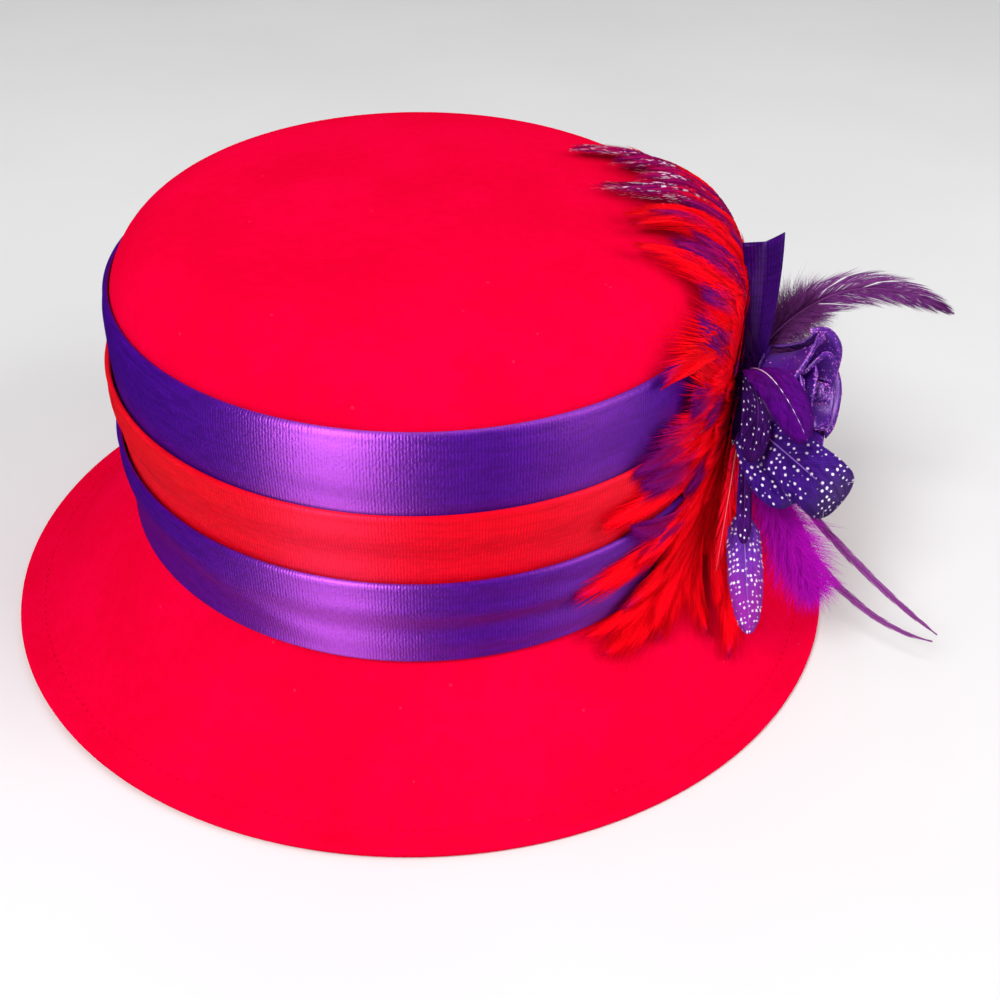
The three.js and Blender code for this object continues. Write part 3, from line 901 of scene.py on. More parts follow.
@dataclass(frozen=True)
class HatForm:
    """The felt's outside: a meridian that is revolved round the hat's axis and made oval."""

    axis_x: float
    wall: float = 2.4 * MM
    crown_half: float = 88.5 * MM
    crown_ratio: float = 1.08
    crown_top: float = 128 * MM
    dome: float = 2.5 * MM
    shoulder: float = 22 * MM
    fillet: float = 9 * MM
    brim_half: float = 132 * MM
    brim_depth: float = 130 * MM
    slope: float = math.radians(47)
    kick: float = 14 * MM
    hem_flat: float = 4 * MM
    hem_round: float = 0.8 * MM

    @cached_property
    def foot(self) -> float:
        """Height at which the crown's side begins to spread into the brim."""
        turn = math.pi / 2 - self.slope
        start_x, start_z = self._kick_start
        run = start_x - self.crown_half - self.fillet * (1 - math.cos(turn))
        return start_z + run * math.tan(self.slope) + self.fillet * math.sin(turn)

    @cached_property
    def _kick_start(self) -> tuple[float, float]:
        """Radius and height at which the brim begins to turn level."""
        return (
            self.brim_half - self.hem_flat - self.kick * math.sin(self.slope),
            self.wall + self.kick - self.kick * math.cos(self.slope),
        )

    @cached_property
    def meridian(self) -> np.ndarray:
        """Columns of distance from the top, radius, height and outward normal, a millimetre apart."""
        share = np.linspace(0, 1, 60)
        middle = self.crown_half - self.shoulder
        centre = self.crown_top - self.dome - self.shoulder
        dome = np.stack([middle * share, self.crown_top - self.dome * share**2], axis=1)
        angle = np.pi / 2 * (1 - share)
        round_edge = np.stack(
            [middle + self.shoulder * np.cos(angle), centre + self.shoulder * np.sin(angle)], axis=1
        )
        angle = np.pi + (np.pi / 2 - self.slope) * share
        spread = np.stack([
            self.crown_half + self.fillet + self.fillet * np.cos(angle),
            self.foot + self.fillet * np.sin(angle),
        ], axis=1)
        angle = 1.5 * np.pi - self.slope * (1 - share)
        level = np.stack([
            self.brim_half - self.hem_flat + self.kick * np.cos(angle),
            self.wall + self.kick + self.kick * np.sin(angle),
        ], axis=1)
        hem = np.array([[self.brim_half - self.hem_round, self.wall]])
        line = np.concatenate([dome, round_edge[1:], spread, level, hem])
        for _ in range(2):
            run = run_along(line)
            even = np.linspace(0, run[-1], int(run[-1] / MM) + 1)
            line = np.stack([np.interp(even, run, line[:, 0]), np.interp(even, run, line[:, 1])], axis=1)
            line[2:-2] = (line[:-4] + 2 * line[1:-3] + 3 * line[2:-2] + 2 * line[3:-1] + line[4:]) / 9
        run = run_along(line)
        along = np.gradient(line, axis=0)
        along /= np.linalg.norm(along, axis=1, keepdims=True)
        return np.stack([run, line[:, 0], line[:, 1], -along[:, 1], along[:, 0]], axis=1)

    @property
    def length(self) -> float:
        """Distance from the middle of the top to the hem."""
        return float(self.meridian[-1, 0])

    def run_at(self, height: float) -> float:
        """Gives the distance from the top at which the outside has a height."""
        return float(np.interp(-height, -self.meridian[:, 2], self.meridian[:, 0]))

    def ratio(self, radius: np.ndarray) -> np.ndarray:
        """Gives the oval's depth for its width, which eases from the crown to the brim's edge."""
        return lerp(
            self.crown_ratio, self.brim_depth / self.brim_half,
            smoothstep(radius, self.crown_half, self.brim_half),
        )

    def surface(self, azimuth: np.ndarray, run: np.ndarray, lift: np.ndarray) -> np.ndarray:
        """Gives points over the felt.

        Args:
            azimuth: Angle round the axis, 0 towards +X.
            run: Distance from the middle of the top.
            lift: Height over the felt's outside.

        Returns:
            The points.
        """
        table = self.meridian
        radius, height, out, up = (np.interp(run, table[:, 0], table[:, k]) for k in range(1, 5))
        reach = radius + out * lift
        return np.stack(np.broadcast_arrays(
            self.axis_x + reach * np.cos(azimuth),
            reach * np.sin(azimuth) * self.ratio(radius),
            height + up * lift,
        ), axis=-1)

    def crown_radius(self, height: np.ndarray) -> np.ndarray:
        """Gives the radius of the crown's outside at a height."""
        return np.interp(-np.asarray(height), -self.meridian[:, 2], self.meridian[:, 1])


@dataclass
class FeltBody:
    """Crown and brim, blocked from one felt hood, with a stitched hem."""

    form: HatForm
    finish: FeltFinish
    rounds: int = 220
    step: float = 2.0 * MM
    wave: float = 0.7 * MM
    wave_span: tuple[float, float] = (0.095, 0.131)
    hem_inset: float = 7 * MM
    stitches: int = 250
    thread: float = 0.26 * MM
    stitch: float = 1.05 * MM

    def build(self) -> None:
        """Builds the felt."""
        form = self.form
        run = np.linspace(0, form.length, int(form.length / self.step))
        turn = np.linspace(-np.pi / 2, np.pi / 2, 5)[1:-1][::-1]
        azimuth = round_angles(self.rounds)
        outside = self._shell(azimuth, run, 0.0)
        inside = self._shell(azimuth, run[::-1], -form.wall)
        rim = outside[-1]
        middle = (rim + inside[0]) / 2
        spread = np.stack([np.cos(azimuth), np.sin(azimuth), np.zeros_like(azimuth)], axis=1)
        edge = [
            middle + spread * form.hem_round * math.cos(a) + (rim - middle) * math.sin(a) for a in turn
        ]
        grid = np.concatenate([outside, np.array(edge), inside])
        uv = lattice(np.arange(self.rounds + 1) * MM, np.arange(len(grid)) * self.step)
        skin = Skin()
        skin.grid(grid, uv, (False, True))
        settle(add_piece(skin.mesh("felt_hood"), self.finish.material()), "felt", "felt_body")

    def _shell(self, azimuth: np.ndarray, run: np.ndarray, lift: float) -> np.ndarray:
        """Gives one side of the felt, with the brim's slight waves.

        Args:
            azimuth: Angles round the axis.
            run: Distances from the top.
            lift: Height over the outside.

        Returns:
            Rows and columns of points.
        """
        points = self.form.surface(azimuth[None, :], run[:, None], lift)
        radius = np.interp(run, self.form.meridian[:, 0], self.form.meridian[:, 1])[:, None]
        ripple = 0.5 + 0.3 * np.sin(3 * azimuth + 0.6) + 0.2 * np.sin(5 * azimuth + 2.1)
        points[..., 2] += (
            self.wave * ripple * smoothstep(radius, *self.wave_span) * (1 - 0.6 * (lift < 0))
        )
        return points

    def sew(self, growth: Growth, finish: ClothFinish) -> None:
        """Sews the hem's stitches on both sides of the brim.

        Args:
            growth: The tree that sews.
            finish: The thread.
        """
        run = np.array([self.form.length - self.hem_inset])
        azimuth = round_angles(self.rounds)
        material = finish.material()
        for name, lift in (("hem_stitch_over", 0.0), ("hem_stitch_under", -self.form.wall)):
            path = ring_path(name, self._shell(azimuth, run, lift)[0])
            sizes = {"Stitches": self.stitches, "Thread": self.thread, "Length": self.stitch, "Seed": 7}
            settle(growth.grow(name, path, material, sizes), "felt")


@dataclass(frozen=True)
class Wrinkle:
    """A shallow ridge in a fold of cloth. Angles in degrees, height in metres."""

    azimuth: float
    share: float
    length: float
    width: float
    height: float
    slant: float = 0.0


@dataclass
class SatinFold:
    """One fold of the band: a folded strip that goes right round the crown."""

    form: HatForm
    name: str
    finish: SatinFinish
    slot: str
    bottom: float
    top: float
    lap: float
    swell: float
    creases: tuple[Wrinkle, ...]
    seed: int
    seat: float = 0.35 * MM
    cloth: float = 1.2 * MM
    bead: float = 0.3 * MM
    rounds: int = 400

    def build(self, material: Material) -> None:
        """Builds the fold.

        Args:
            material: The satin.
        """
        outer = np.linspace(0.03, 0.97, 22)
        inner = np.linspace(0.97, 0.03, 8)
        share = np.concatenate([outer, [0.99, 1.0, 0.99], inner, [0.01, 0.0, 0.01]])
        depth = np.concatenate(
            [np.ones_like(outer), [0.9, 0.5, 0.1], np.zeros_like(inner), [0.1, 0.5, 0.9]]
        )
        azimuth = round_angles(self.rounds)
        height = lerp(self.bottom, self.top, share)
        lift = self.lap * smoothstep(share, 0.35, 0.8)
        wall = self.cloth + self.swell * np.sin(np.pi * share)
        wall = wall + self.bead * np.exp(-(((share - 0.965) / 0.03) ** 2))
        offset = self.seat + lift + depth * wall
        radius = (self.form.crown_radius(height) + offset)[None, :] + depth * self._relief(azimuth, share)
        points = np.stack(np.broadcast_arrays(
            self.form.axis_x + radius * np.cos(azimuth)[:, None],
            radius * np.sin(azimuth)[:, None] * self.form.ratio(radius),
            height[None, :],
        ), axis=-1)
        girth = 2 * np.pi * self.form.crown_half
        strip = np.stack([radius[0], height], axis=1)
        around = run_along(np.concatenate([strip, strip[:1]]))
        along = np.linspace(0, girth, self.rounds + 1)
        uv = np.stack(np.meshgrid(along, around, indexing="ij"), axis=-1)
        skin = Skin()
        skin.grid(points, uv, (True, True))
        piece = add_piece(skin.mesh(f"satin_{self.name}"), material)
        settle(piece, self.slot, self.name)

    def _relief(self, azimuth: np.ndarray, share: np.ndarray) -> np.ndarray:
        """Gives how far the cloth's creases stand out.

        Args:
            azimuth: Angles round the axis.
            share: Places from the lower edge to the upper one.

        Returns:
            A height for each angle and place.
        """
        random = np.random.default_rng(self.seed)
        loose = [
            Wrinkle(
                azimuth=random.uniform(-180, 180), share=random.uniform(0.15, 0.85),
                length=random.uniform(9, 26), width=random.uniform(0.05, 0.12),
                height=random.uniform(-0.28, 0.34) * MM, slant=random.uniform(-0.008, 0.008),
            )
            for _ in range(26)
        ]
        relief = np.zeros((len(azimuth), len(share)))
        for ridge in (*self.creases, *loose):
            away = (np.degrees(azimuth)[:, None] - ridge.azimuth + 180) % 360 - 180
            across = share[None, :] - ridge.share - ridge.slant * away
            relief += ridge.height * np.exp(-((away / ridge.length) ** 2) - (across / ridge.width) ** 2)
        return relief * np.sin(np.pi * np.clip(share, 0, 1))[None, :] ** 0.5


@dataclass
class Sprout:
    """Shafts and barb roots laid out flat, from which the feather tree grows one piece."""

    places: list[np.ndarray] = field(default_factory=list)
    edges: list[np.ndarray] = field(default_factory=list)
    values: dict[str, list[np.ndarray]] = field(default_factory=dict)
    count: int = 0

    NUMBERS = (
        "barb", "turn", "roll", "pitch", "reach", "width", "bow_x", "bow_y", "bow_z", "thick",
        "place", "tone", "tip", "dots", "run", "lead", "side",
    )
    LOOKS = ("place", "tone", "tip", "dots")

    def plant(self, points: np.ndarray, edges: np.ndarray, **numbers: np.ndarray | float) -> None:
        """Adds points with their numbers.

        Args:
            points: Their places in the flat layout.
            edges: Pairs of points that make a shaft.
            numbers: What the tree and the finish read; 0 where it isn't given.
        """
        self.places.append(points)
        self.edges.append(np.asarray(edges, int).reshape(-1, 2) + self.count)
        for name in self.NUMBERS:
            column = np.broadcast_to(np.asarray(numbers.get(name, 0.0), float), len(points))
            self.values.setdefault(name, []).append(column)
        self.count += len(points)

    def grow(
        self,
        name: str,
        growth: Growth,
        material: Material,
        sizes: Sizes,
        move: Callable[[np.ndarray], np.ndarray],
    ) -> bpy.types.Object:
        """Grows the piece, keeps its flat coordinates as UVs and moves it to its place.

        Args:
            name: The piece's name.
            growth: The feather tree.
            material: The piece's material.
            sizes: Values of the tree's inputs.
            move: Takes flat points to the hat.

        Returns:
            The piece.
        """
        start = bpy.data.meshes.new(f"{name}_layout")
        start.from_pydata(np.concatenate(self.places).tolist(), np.concatenate(self.edges).tolist(), [])
        for label, columns in self.values.items():
            layer = start.attributes.new(label, "FLOAT", "POINT")
            layer.data.foreach_set("value", np.concatenate(columns))
        piece = growth.grow(name, start, material, sizes)
        mesh = piece.data
        numbers = {}
        for label in (*self.NUMBERS, "along"):
            numbers[label] = np.zeros(len(mesh.vertices), np.float32)
            mesh.attributes[label].data.foreach_get("value", numbers[label])
        web = np.stack([
            numbers["run"] + numbers["along"] * numbers["lead"], numbers["along"] * numbers["side"],
        ], axis=1)
        corner = np.zeros(len(mesh.loops), np.int32)
        mesh.loops.foreach_get("vertex_index", corner)
        mesh.uv_layers.new(name="UVMap").data.foreach_set("uv", web[corner].ravel())
        for label in self.NUMBERS:
            if label not in self.LOOKS:
                mesh.attributes.remove(mesh.attributes[label])
        flat = np.zeros(len(mesh.vertices) * 3, np.float32)
        mesh.vertices.foreach_get("co", flat)
        moved = move(flat.reshape(-1, 3).astype(float))
        mesh.vertices.foreach_set("co", moved.astype(np.float32).ravel())
        mesh.update()
        return piece


@dataclass(frozen=True)
class Look:
    """How one feather is dyed: its tone, the share of its tip and whether it is dotted."""

    tone: float = 0.5
    tip: float = 0.0
    dots: float = 0.0


@dataclass(frozen=True)
class Vane:
    """How barbs stand on a shaft. Lengths in metres, angles in degrees."""

    half: float
    widest: float
    pitch: float
    barb: float
    root_angle: float = 48.0
    tip_angle: float = 20.0
    shaft: float = 0.35 * MM
    bare: float = 0.04
    clump: float = 6 * MM
    parting: float = 5.0
    sweep: float = 0.12
    taper: float = 2.0
    roll: float = 12.0
    foot: float = 0.12
    mottle: float = 0.2
    stray: float = 0.04
    fray: float = 0.06
    blunt: float = 0.0

    def outline(self, share: np.ndarray) -> np.ndarray:
        """Gives the outline's half width.

        Args:
            share: Places along the shaft, from 0 to 1.

        Returns:
            The half width at each place.
        """
        rising = lerp(self.foot, 1.0, np.sin(np.pi / 2 * np.minimum(share / self.widest, 1)))
        past = np.clip((share - self.widest) / (1 - self.widest), 0, 1)
        return self.half * rising * (0.06 + 0.94 * np.sqrt(1 - past**self.taper))

    def _reach(self, root: np.ndarray, angle: np.ndarray, total: float) -> np.ndarray:
        """Finds the barbs' lengths, so that each barb ends on the outline.

        Args:
            root: Where each barb stands, as a share of the shaft.
            angle: How far it leans away from the shaft, in radians.
            total: The shaft's length.

        Returns:
            The lengths.
        """
        short = np.zeros_like(root)
        long = (1 - root) * total / np.cos(angle)
        for _ in range(20):
            reach = (short + long) / 2
            inside = reach * np.sin(angle) < self.outline(root + reach * np.cos(angle) / total)
            short = np.where(inside, reach, short)
            long = np.where(inside, long, reach)
        return short

    def lay(self, sprout: Sprout, path: np.ndarray, look: Look, random: np.random.Generator) -> None:
        """Lays one feather along a flat path.

        Args:
            sprout: What the feather is added to.
            path: The shaft's points, with their height as the third number.
            look: How it is dyed.
            random: The source of small differences.
        """
        run = run_along(path[:, :2])
        total = run[-1]
        heading = np.unwrap(np.arctan2(*np.gradient(path[:, :2], axis=0).T[::-1]))
        share = run / total
        links = np.stack([np.arange(len(path) - 1), np.arange(1, len(path))], axis=1)
        dyed = {"tip": look.tip, "dots": look.dots}
        thick = self.shaft * (1 - 0.8 * share)
        sprout.plant(path, links, thick=thick, place=share, tone=look.tone, **dyed)
        count = max(int(total * (1 - self.bare) / self.pitch), 2)
        root = self.bare + (1 - self.bare) * (np.arange(count) + 0.5) / count
        for hand in (-1.0, 1.0):
            phase = (root * total / self.clump + random.random()) % 1 - 0.5
            angle = lerp(self.root_angle, self.tip_angle, root) + 2 * self.parting * phase
            angle = np.radians(np.maximum(angle * lerp(1.0, 0.2, smoothstep(root, 0.86, 1.0)), 3.0))
            reach = self._reach(root, angle, total)
            turn = np.interp(root, share, heading) + hand * angle
            bow = hand * self.sweep * reach
            places = np.stack([np.interp(root, share, path[:, k]) for k in range(3)], axis=1)
            sprout.plant(
                places, [], barb=1.0, turn=turn, roll=hand * math.radians(self.roll), reach=reach,
                width=self.barb, bow_x=np.sin(turn) * bow, bow_y=-np.cos(turn) * bow, place=root,
                tone=np.clip(look.tone + random.normal(0, self.mottle, count), 0, 1), run=root * total,
                lead=reach * np.cos(angle), side=hand * reach * np.sin(angle), **dyed,
            )


@dataclass(frozen=True)
class Down:
    """Loose fluff on a shaft: thin strands in all directions. Lengths in metres, angles in degrees."""

    strands: int
    reach: tuple[float, float]
    span: tuple[float, float]
    angle: tuple[float, float]
    pitch: float = 45.0
    strand: float = 0.1 * MM
    droop: float = 0.25
    spread: float = 0.0

    def lay(self, sprout: Sprout, length: float, tone: float, random: np.random.Generator) -> None:
        """Lays the strands on a straight shaft along X.

        Args:
            sprout: What the strands are added to.
            length: The shaft's length.
            tone: How bright they are.
            random: The source of differences.
        """
        root = random.uniform(*self.span, self.strands)
        hand = np.where(random.random(self.strands) < 0.5, -1.0, 1.0)
        angle = np.radians(random.uniform(*self.angle, self.strands))
        swell = 0.55 + 0.45 * np.sin(np.pi * (root - self.span[0]) / (self.span[1] - self.span[0]))
        reach = random.uniform(*self.reach, self.strands) * swell
        bow = self.droop * reach * random.uniform(-0.4, 1.0, self.strands)
        off = random.normal(0, 1, (2, self.strands)) * self.spread
        places = np.stack([root * length, *off], axis=1)
        sprout.plant(
            places, [], barb=1.0, turn=hand * angle, reach=reach, width=self.strand, place=root,
            pitch=np.radians(random.uniform(-self.pitch, self.pitch, self.strands)),
            bow_x=bow, bow_z=random.normal(0, 0.12, self.strands) * reach,
            tone=np.clip(tone + random.normal(0, 0.25, self.strands), 0, 1),
            run=root * length, lead=reach * np.cos(angle), side=hand * reach * np.sin(angle),
        )


@dataclass(frozen=True)
class PadLayer:
    """One ring of overlapping feathers. Shares are of the pad's reach, lifts in metres."""

    feathers: int
    root: float
    tip: float
    lift: float
    tip_lift: float
    half: float
    tipped: float


@dataclass
class FeatherPad:
    """Red hackle pad that is draped over the side, the round edge and the brim."""

    form: HatForm
    finish: FeatherFinish
    azimuth: float = math.radians(-6)
    height: float = 72 * MM
    band_lift: float = 4.6 * MM
    felt_lift: float = 2.8 * MM
    settle_run: float = 16 * MM
    band_bottom: float = 39.4 * MM
    band_top: float = 110 * MM
    backing: float = 0.5 * MM
    loft: float = 4.0 * MM
    loft_rise: tuple[float, float] = (28 * MM, 50 * MM)
    loft_fall: tuple[float, float] = (54 * MM, 78 * MM)
    loft_side: tuple[float, float] = (22 * MM, 58 * MM)
    reaches: tuple[tuple[float, float], ...] = (
        (0, 97), (45, 74), (90, 74), (135, 95), (180, 76), (225, 62), (270, 62), (315, 90), (340, 106),
        (360, 97),
    )
    layers: tuple[PadLayer, ...] = (
        PadLayer(42, 0.24, 1.00, -0.1 * MM, -0.4 * MM, 9.5 * MM, 0.35),
        PadLayer(38, 0.15, 0.86, 0.2 * MM, 0.0 * MM, 9.5 * MM, 0.80),
        PadLayer(34, 0.07, 0.70, 0.5 * MM, 0.3 * MM, 9.5 * MM, 0.30),
        PadLayer(28, 0.01, 0.52, 0.9 * MM, 1.4 * MM, 9.0 * MM, 0.08),
        PadLayer(22, 0.01, 0.34, 2.4 * MM, 2.2 * MM, 8.0 * MM, 0.0),
    )
    dyed: tuple[tuple[float, float], ...] = (
        (0, 1.6), (25, 1.4), (45, 1.0), (250, 1.0), (285, 0.3), (295, 0.0), (346, 0.0), (353, 1.6),
        (360, 1.6),
    )
    dotted: tuple[float, float] = (96.0, 138.0)

    def reach(self, angle: np.ndarray) -> np.ndarray:
        """Gives how far the pad reaches.

        Args:
            angle: Directions in degrees, 0 to the front and 90 up.

        Returns:
            The reach in each direction.
        """
        table = np.array(self.reaches)
        turn = np.asarray(angle) % 360
        after = np.clip(np.searchsorted(table[:, 0], turn, side="right"), 1, len(table) - 1)
        low, high = table[after - 1], table[after]
        share = (turn - low[..., 0]) / (high[..., 0] - low[..., 0])
        return lerp(low[..., 1], high[..., 1], share * share * (3 - 2 * share)) * MM

    def drape(self, flat: np.ndarray) -> np.ndarray:
        """Takes points of the flat pad to the hat.

        Args:
            flat: The points, measured to the back, up and out.

        Returns:
            The points on the hat.
        """
        form = self.form
        azimuth = self.azimuth + flat[:, 0] / (form.crown_half * form.crown_ratio)
        climb = flat[:, 1]
        above = self.band_top - self.height
        below = self.height - self.band_bottom
        over = smoothstep(climb, above, above + self.settle_run)
        under = smoothstep(-climb, below, below + self.settle_run)
        lift = lerp(self.band_lift, self.felt_lift, np.maximum(over, under)) + flat[:, 2]
        crest = smoothstep(climb, *self.loft_rise) * (1 - smoothstep(climb, *self.loft_fall))
        middle = 1 - smoothstep(np.abs(flat[:, 0]), *self.loft_side)
        return form.surface(azimuth, form.run_at(self.height) - climb, lift + self.loft * crest * middle)

    def build(self, growth: Growth) -> None:
        """Builds the backing and the feathers.

        Args:
            growth: The feather tree.
        """
        material = self.finish.material()
        random = np.random.default_rng(31)
        settle(self._backing(material), "feather_red", "feather_pad")
        for number, layer in enumerate(self.layers, 1):
            sprout = Sprout()
            for place in range(layer.feathers):
                angle = 360 * (place + random.uniform(-0.3, 0.3)) / layer.feathers
                self._feather(sprout, layer, angle, random)
            sizes = {
                "Barb Ridge": 0.4, "Barb Steps": 2, "Turn Jitter": 0.02, "Reach Jitter": 0.2,
                "Seed": number,
            }
            ring = sprout.grow(f"pad_feathers_{number}", growth, material, sizes, self.drape)
            settle(ring, "feather_red")

    def _feather(
        self, sprout: Sprout, layer: PadLayer, angle: float, random: np.random.Generator
    ) -> None:
        """Lays one feather of a ring.

        Args:
            sprout: What it is added to.
            layer: Its ring.
            angle: Where its tip points, in degrees.
            random: The source of differences.
        """
        reach = float(self.reach(angle))
        start = angle + random.normal(0, 5)
        longest = 1 + 0.1 * max(math.sin(math.radians(angle)), 0.0)
        tip = layer.tip * random.uniform(0.84, longest)
        ends = []
        for share, turn in ((layer.root, start), ((layer.root + tip) / 2, start), (tip, angle)):
            heading = math.radians(turn)
            ends.append(reach * share * np.array([-math.cos(heading), math.sin(heading)]))
        share = np.linspace(0, 1, 11)[:, None]
        control = 2 * ends[1] - (ends[0] + ends[2]) / 2
        path = (1 - share) ** 2 * ends[0] + 2 * share * (1 - share) * control + share**2 * ends[2]
        lift = lerp(layer.lift, layer.tip_lift, share) + random.uniform(-0.15, 0.15) * MM
        lift = lift + 0.5 * MM * np.sin(np.pi * share)
        dotted = layer is self.layers[0] and self.dotted[0] < angle < self.dotted[1]
        chance = layer.tipped * float(np.interp(angle % 360, *np.array(self.dyed).T))
        tipped = random.uniform(0.26, 0.5) if random.random() < chance else random.uniform(-0.25, 0.02)
        tone = float(np.clip(random.normal(0.55, 0.2), 0, 1))
        look = Look(tone, 0.6 if dotted else tipped, float(dotted))
        vane = Vane(
            half=layer.half * random.uniform(0.85, 1.1), widest=0.72, pitch=0.38 * MM, barb=0.17 * MM,
            root_angle=23, tip_angle=12, shaft=0.15 * MM, bare=0.0, clump=20 * MM, parting=1, taper=2.6,
            roll=4.0, mottle=0.1,
        )
        vane.lay(sprout, np.concatenate([path, lift], axis=1), look, random)

    def _backing(self, material: Material) -> bpy.types.Object:
        """Builds the sheet that the feathers are glued to.

        Args:
            material: The feathers' material.

        Returns:
            The piece.
        """
        rounds = 96
        angle = np.linspace(0, 360, rounds, endpoint=False)
        share = np.linspace(0, 0.62, 22)[1:]
        reach = self.reach(angle)[:, None] * share[None, :]
        notch = 1 - 0.16 * np.abs(np.sin(np.radians(angle) * 12))[:, None] ** 1.5 * share[None, :]
        flat = np.stack(np.broadcast_arrays(
            -np.cos(np.radians(angle))[:, None] * reach * notch,
            np.sin(np.radians(angle))[:, None] * reach * notch,
            np.full(reach.shape, -self.backing),
        ), axis=-1)
        lower = flat[:, ::-1].copy()
        lower[..., 2] -= self.backing
        pole = np.zeros((rounds, 1, 3))
        upper_pole, lower_pole = (pole - [0, 0, walls * self.backing] for walls in (1, 2))
        loop = np.concatenate([upper_pole, flat, lower, lower_pole], axis=1)
        points = self.drape(loop.reshape(-1, 3)).reshape(loop.shape)
        uv = np.concatenate([loop, loop[:1]])[..., :2]
        skin = Skin()
        skin.grid(points, uv, (True, False))
        return add_piece(skin.mesh("pad_backing"), material)


@dataclass(frozen=True)
class Reach:
    """A run from the ornament's base: out, to the front and up, in millimetres."""

    tip: Triple
    bow: Triple
    layer: float
    root_turn: float
    face: Triple


@dataclass(frozen=True)
class Spine:
    """A bowed line in the ornament's frame, with the side and the face of what grows on it."""

    ends: np.ndarray
    face: np.ndarray
    cup: float = 0.0

    @cached_property
    def _table(self) -> tuple[np.ndarray, np.ndarray]:
        """Lengths along the line and the curve's shares that give them."""
        share = np.linspace(0, 1, 201)
        return run_along(self._point(share)), share

    @property
    def length(self) -> float:
        """The line's length."""
        return float(self._table[0][-1])

    def _point(self, share: np.ndarray) -> np.ndarray:
        """Gives points on the curve."""
        t = np.asarray(share)[:, None]
        return (1 - t) ** 2 * self.ends[0] + 2 * t * (1 - t) * self.ends[1] + t**2 * self.ends[2]

    def place(self, flat: np.ndarray) -> np.ndarray:
        """Bends flat points, along, across and over the shaft, to the line.

        Args:
            flat: The points.

        Returns:
            Points in the ornament's frame.
        """
        run, shares = self._table
        share = np.interp(flat[:, 0], run, shares)
        beyond = flat[:, 0] - np.clip(flat[:, 0], 0, run[-1])
        t = share[:, None]
        along = (1 - t) * (self.ends[1] - self.ends[0]) + t * (self.ends[2] - self.ends[1])
        along /= np.linalg.norm(along, axis=1, keepdims=True)
        side = np.cross(self.face, along)
        side /= np.linalg.norm(side, axis=1, keepdims=True)
        over = np.cross(along, side)
        rise = flat[:, 2] - self.cup * flat[:, 1] ** 2
        return (
            self._point(share) + along * beyond[:, None] + side * flat[:, 1:2] + over * rise[:, None]
        )


@dataclass(frozen=True)
class OrnamentFrame:
    """The ornament's own frame: X out from the crown, Y to the back and Z up."""

    form: HatForm
    azimuth: float = math.radians(-14)
    height: float = 76 * MM
    lift: float = 7.7 * MM
    base_radius: float = 10.5 * MM
    base_thick: float = 5 * MM
    root_gap: float = 0.8 * MM

    @cached_property
    def heading(self) -> float:
        """Direction in which the ornament's X points, round the hat's axis."""
        return math.atan2(math.sin(self.azimuth), math.cos(self.azimuth) * self.form.crown_ratio)

    def to_hat(self, points: np.ndarray) -> np.ndarray:
        """Takes points from the ornament's frame to the hat's.

        Args:
            points: An array of points, of any number of rows and columns.

        Returns:
            The points on the hat.
        """
        run = np.array(self.form.run_at(self.height))
        seat = self.form.surface(np.array(self.azimuth), run, self.lift)
        cosine, sine = math.cos(self.heading), math.sin(self.heading)
        turn = np.array([[cosine, -sine, 0], [sine, cosine, 0], [0, 0, 1]])
        return (points.reshape(-1, 3) @ turn.T + seat).reshape(points.shape)

    def spine(self, reach: Reach, cup: float = 0.0) -> Spine:
        """Makes the line from the base's rim to a tip.

        Args:
            reach: Where it goes.
            cup: How much what grows on it is cupped.

        Returns:
            The line.
        """
        flip = np.array([1.0, -1.0, 1.0])
        tip, bow, face = (np.array(row) * flip for row in (reach.tip, reach.bow, reach.face))
        heading = math.atan2(reach.tip[2], reach.tip[1]) + math.radians(reach.root_turn)
        rim = (self.base_radius + self.root_gap) / MM
        root = np.array([reach.layer, -rim * math.cos(heading), rim * math.sin(heading)])
        control = (root + tip) / 2 + 2 * bow
        return Spine(np.array([root, control, tip]) * MM, face / np.linalg.norm(face), cup)


@dataclass(frozen=True)
class LooseFeather:
    """One feather of the ornament."""

    name: str
    reach: Reach
    vane: Vane
    finish: FeatherFinish
    slot: str
    look: Look
    down: Down | None = None
    cup: float = 6.0
    seed: int = 1

    def build(self, frame: OrnamentFrame, growth: Growth, material: Material) -> None:
        """Builds the feather.

        Args:
            frame: The ornament's frame.
            growth: The feather tree.
            material: The feather's material.
        """
        spine = frame.spine(self.reach, self.cup)
        random = np.random.default_rng(self.seed)
        sprout = Sprout()
        along = np.linspace(0, spine.length, 15)
        self.vane.lay(sprout, np.stack([along, 0 * along, 0 * along], axis=1), self.look, random)
        if self.down:
            self.down.lay(sprout, spine.length, self.look.tone, random)
        sizes = {
            "Barb Ridge": 0.4, "Barb Tip": self.vane.blunt, "Barb Steps": 3,
            "Turn Jitter": self.vane.stray, "Reach Jitter": self.vane.fray, "Seed": self.seed,
        }
        piece = sprout.grow(
            f"{self.name}_barbs", growth, material, sizes, lambda flat: frame.to_hat(spine.place(flat))
        )
        settle(piece, self.slot, self.name)


@dataclass(frozen=True)
class PetalRing:
    """A ring of cupped petals. Lengths in metres, angles in degrees."""

    petals: int
    foot: float
    bloom: float
    height: float
    spread: float
    start: float


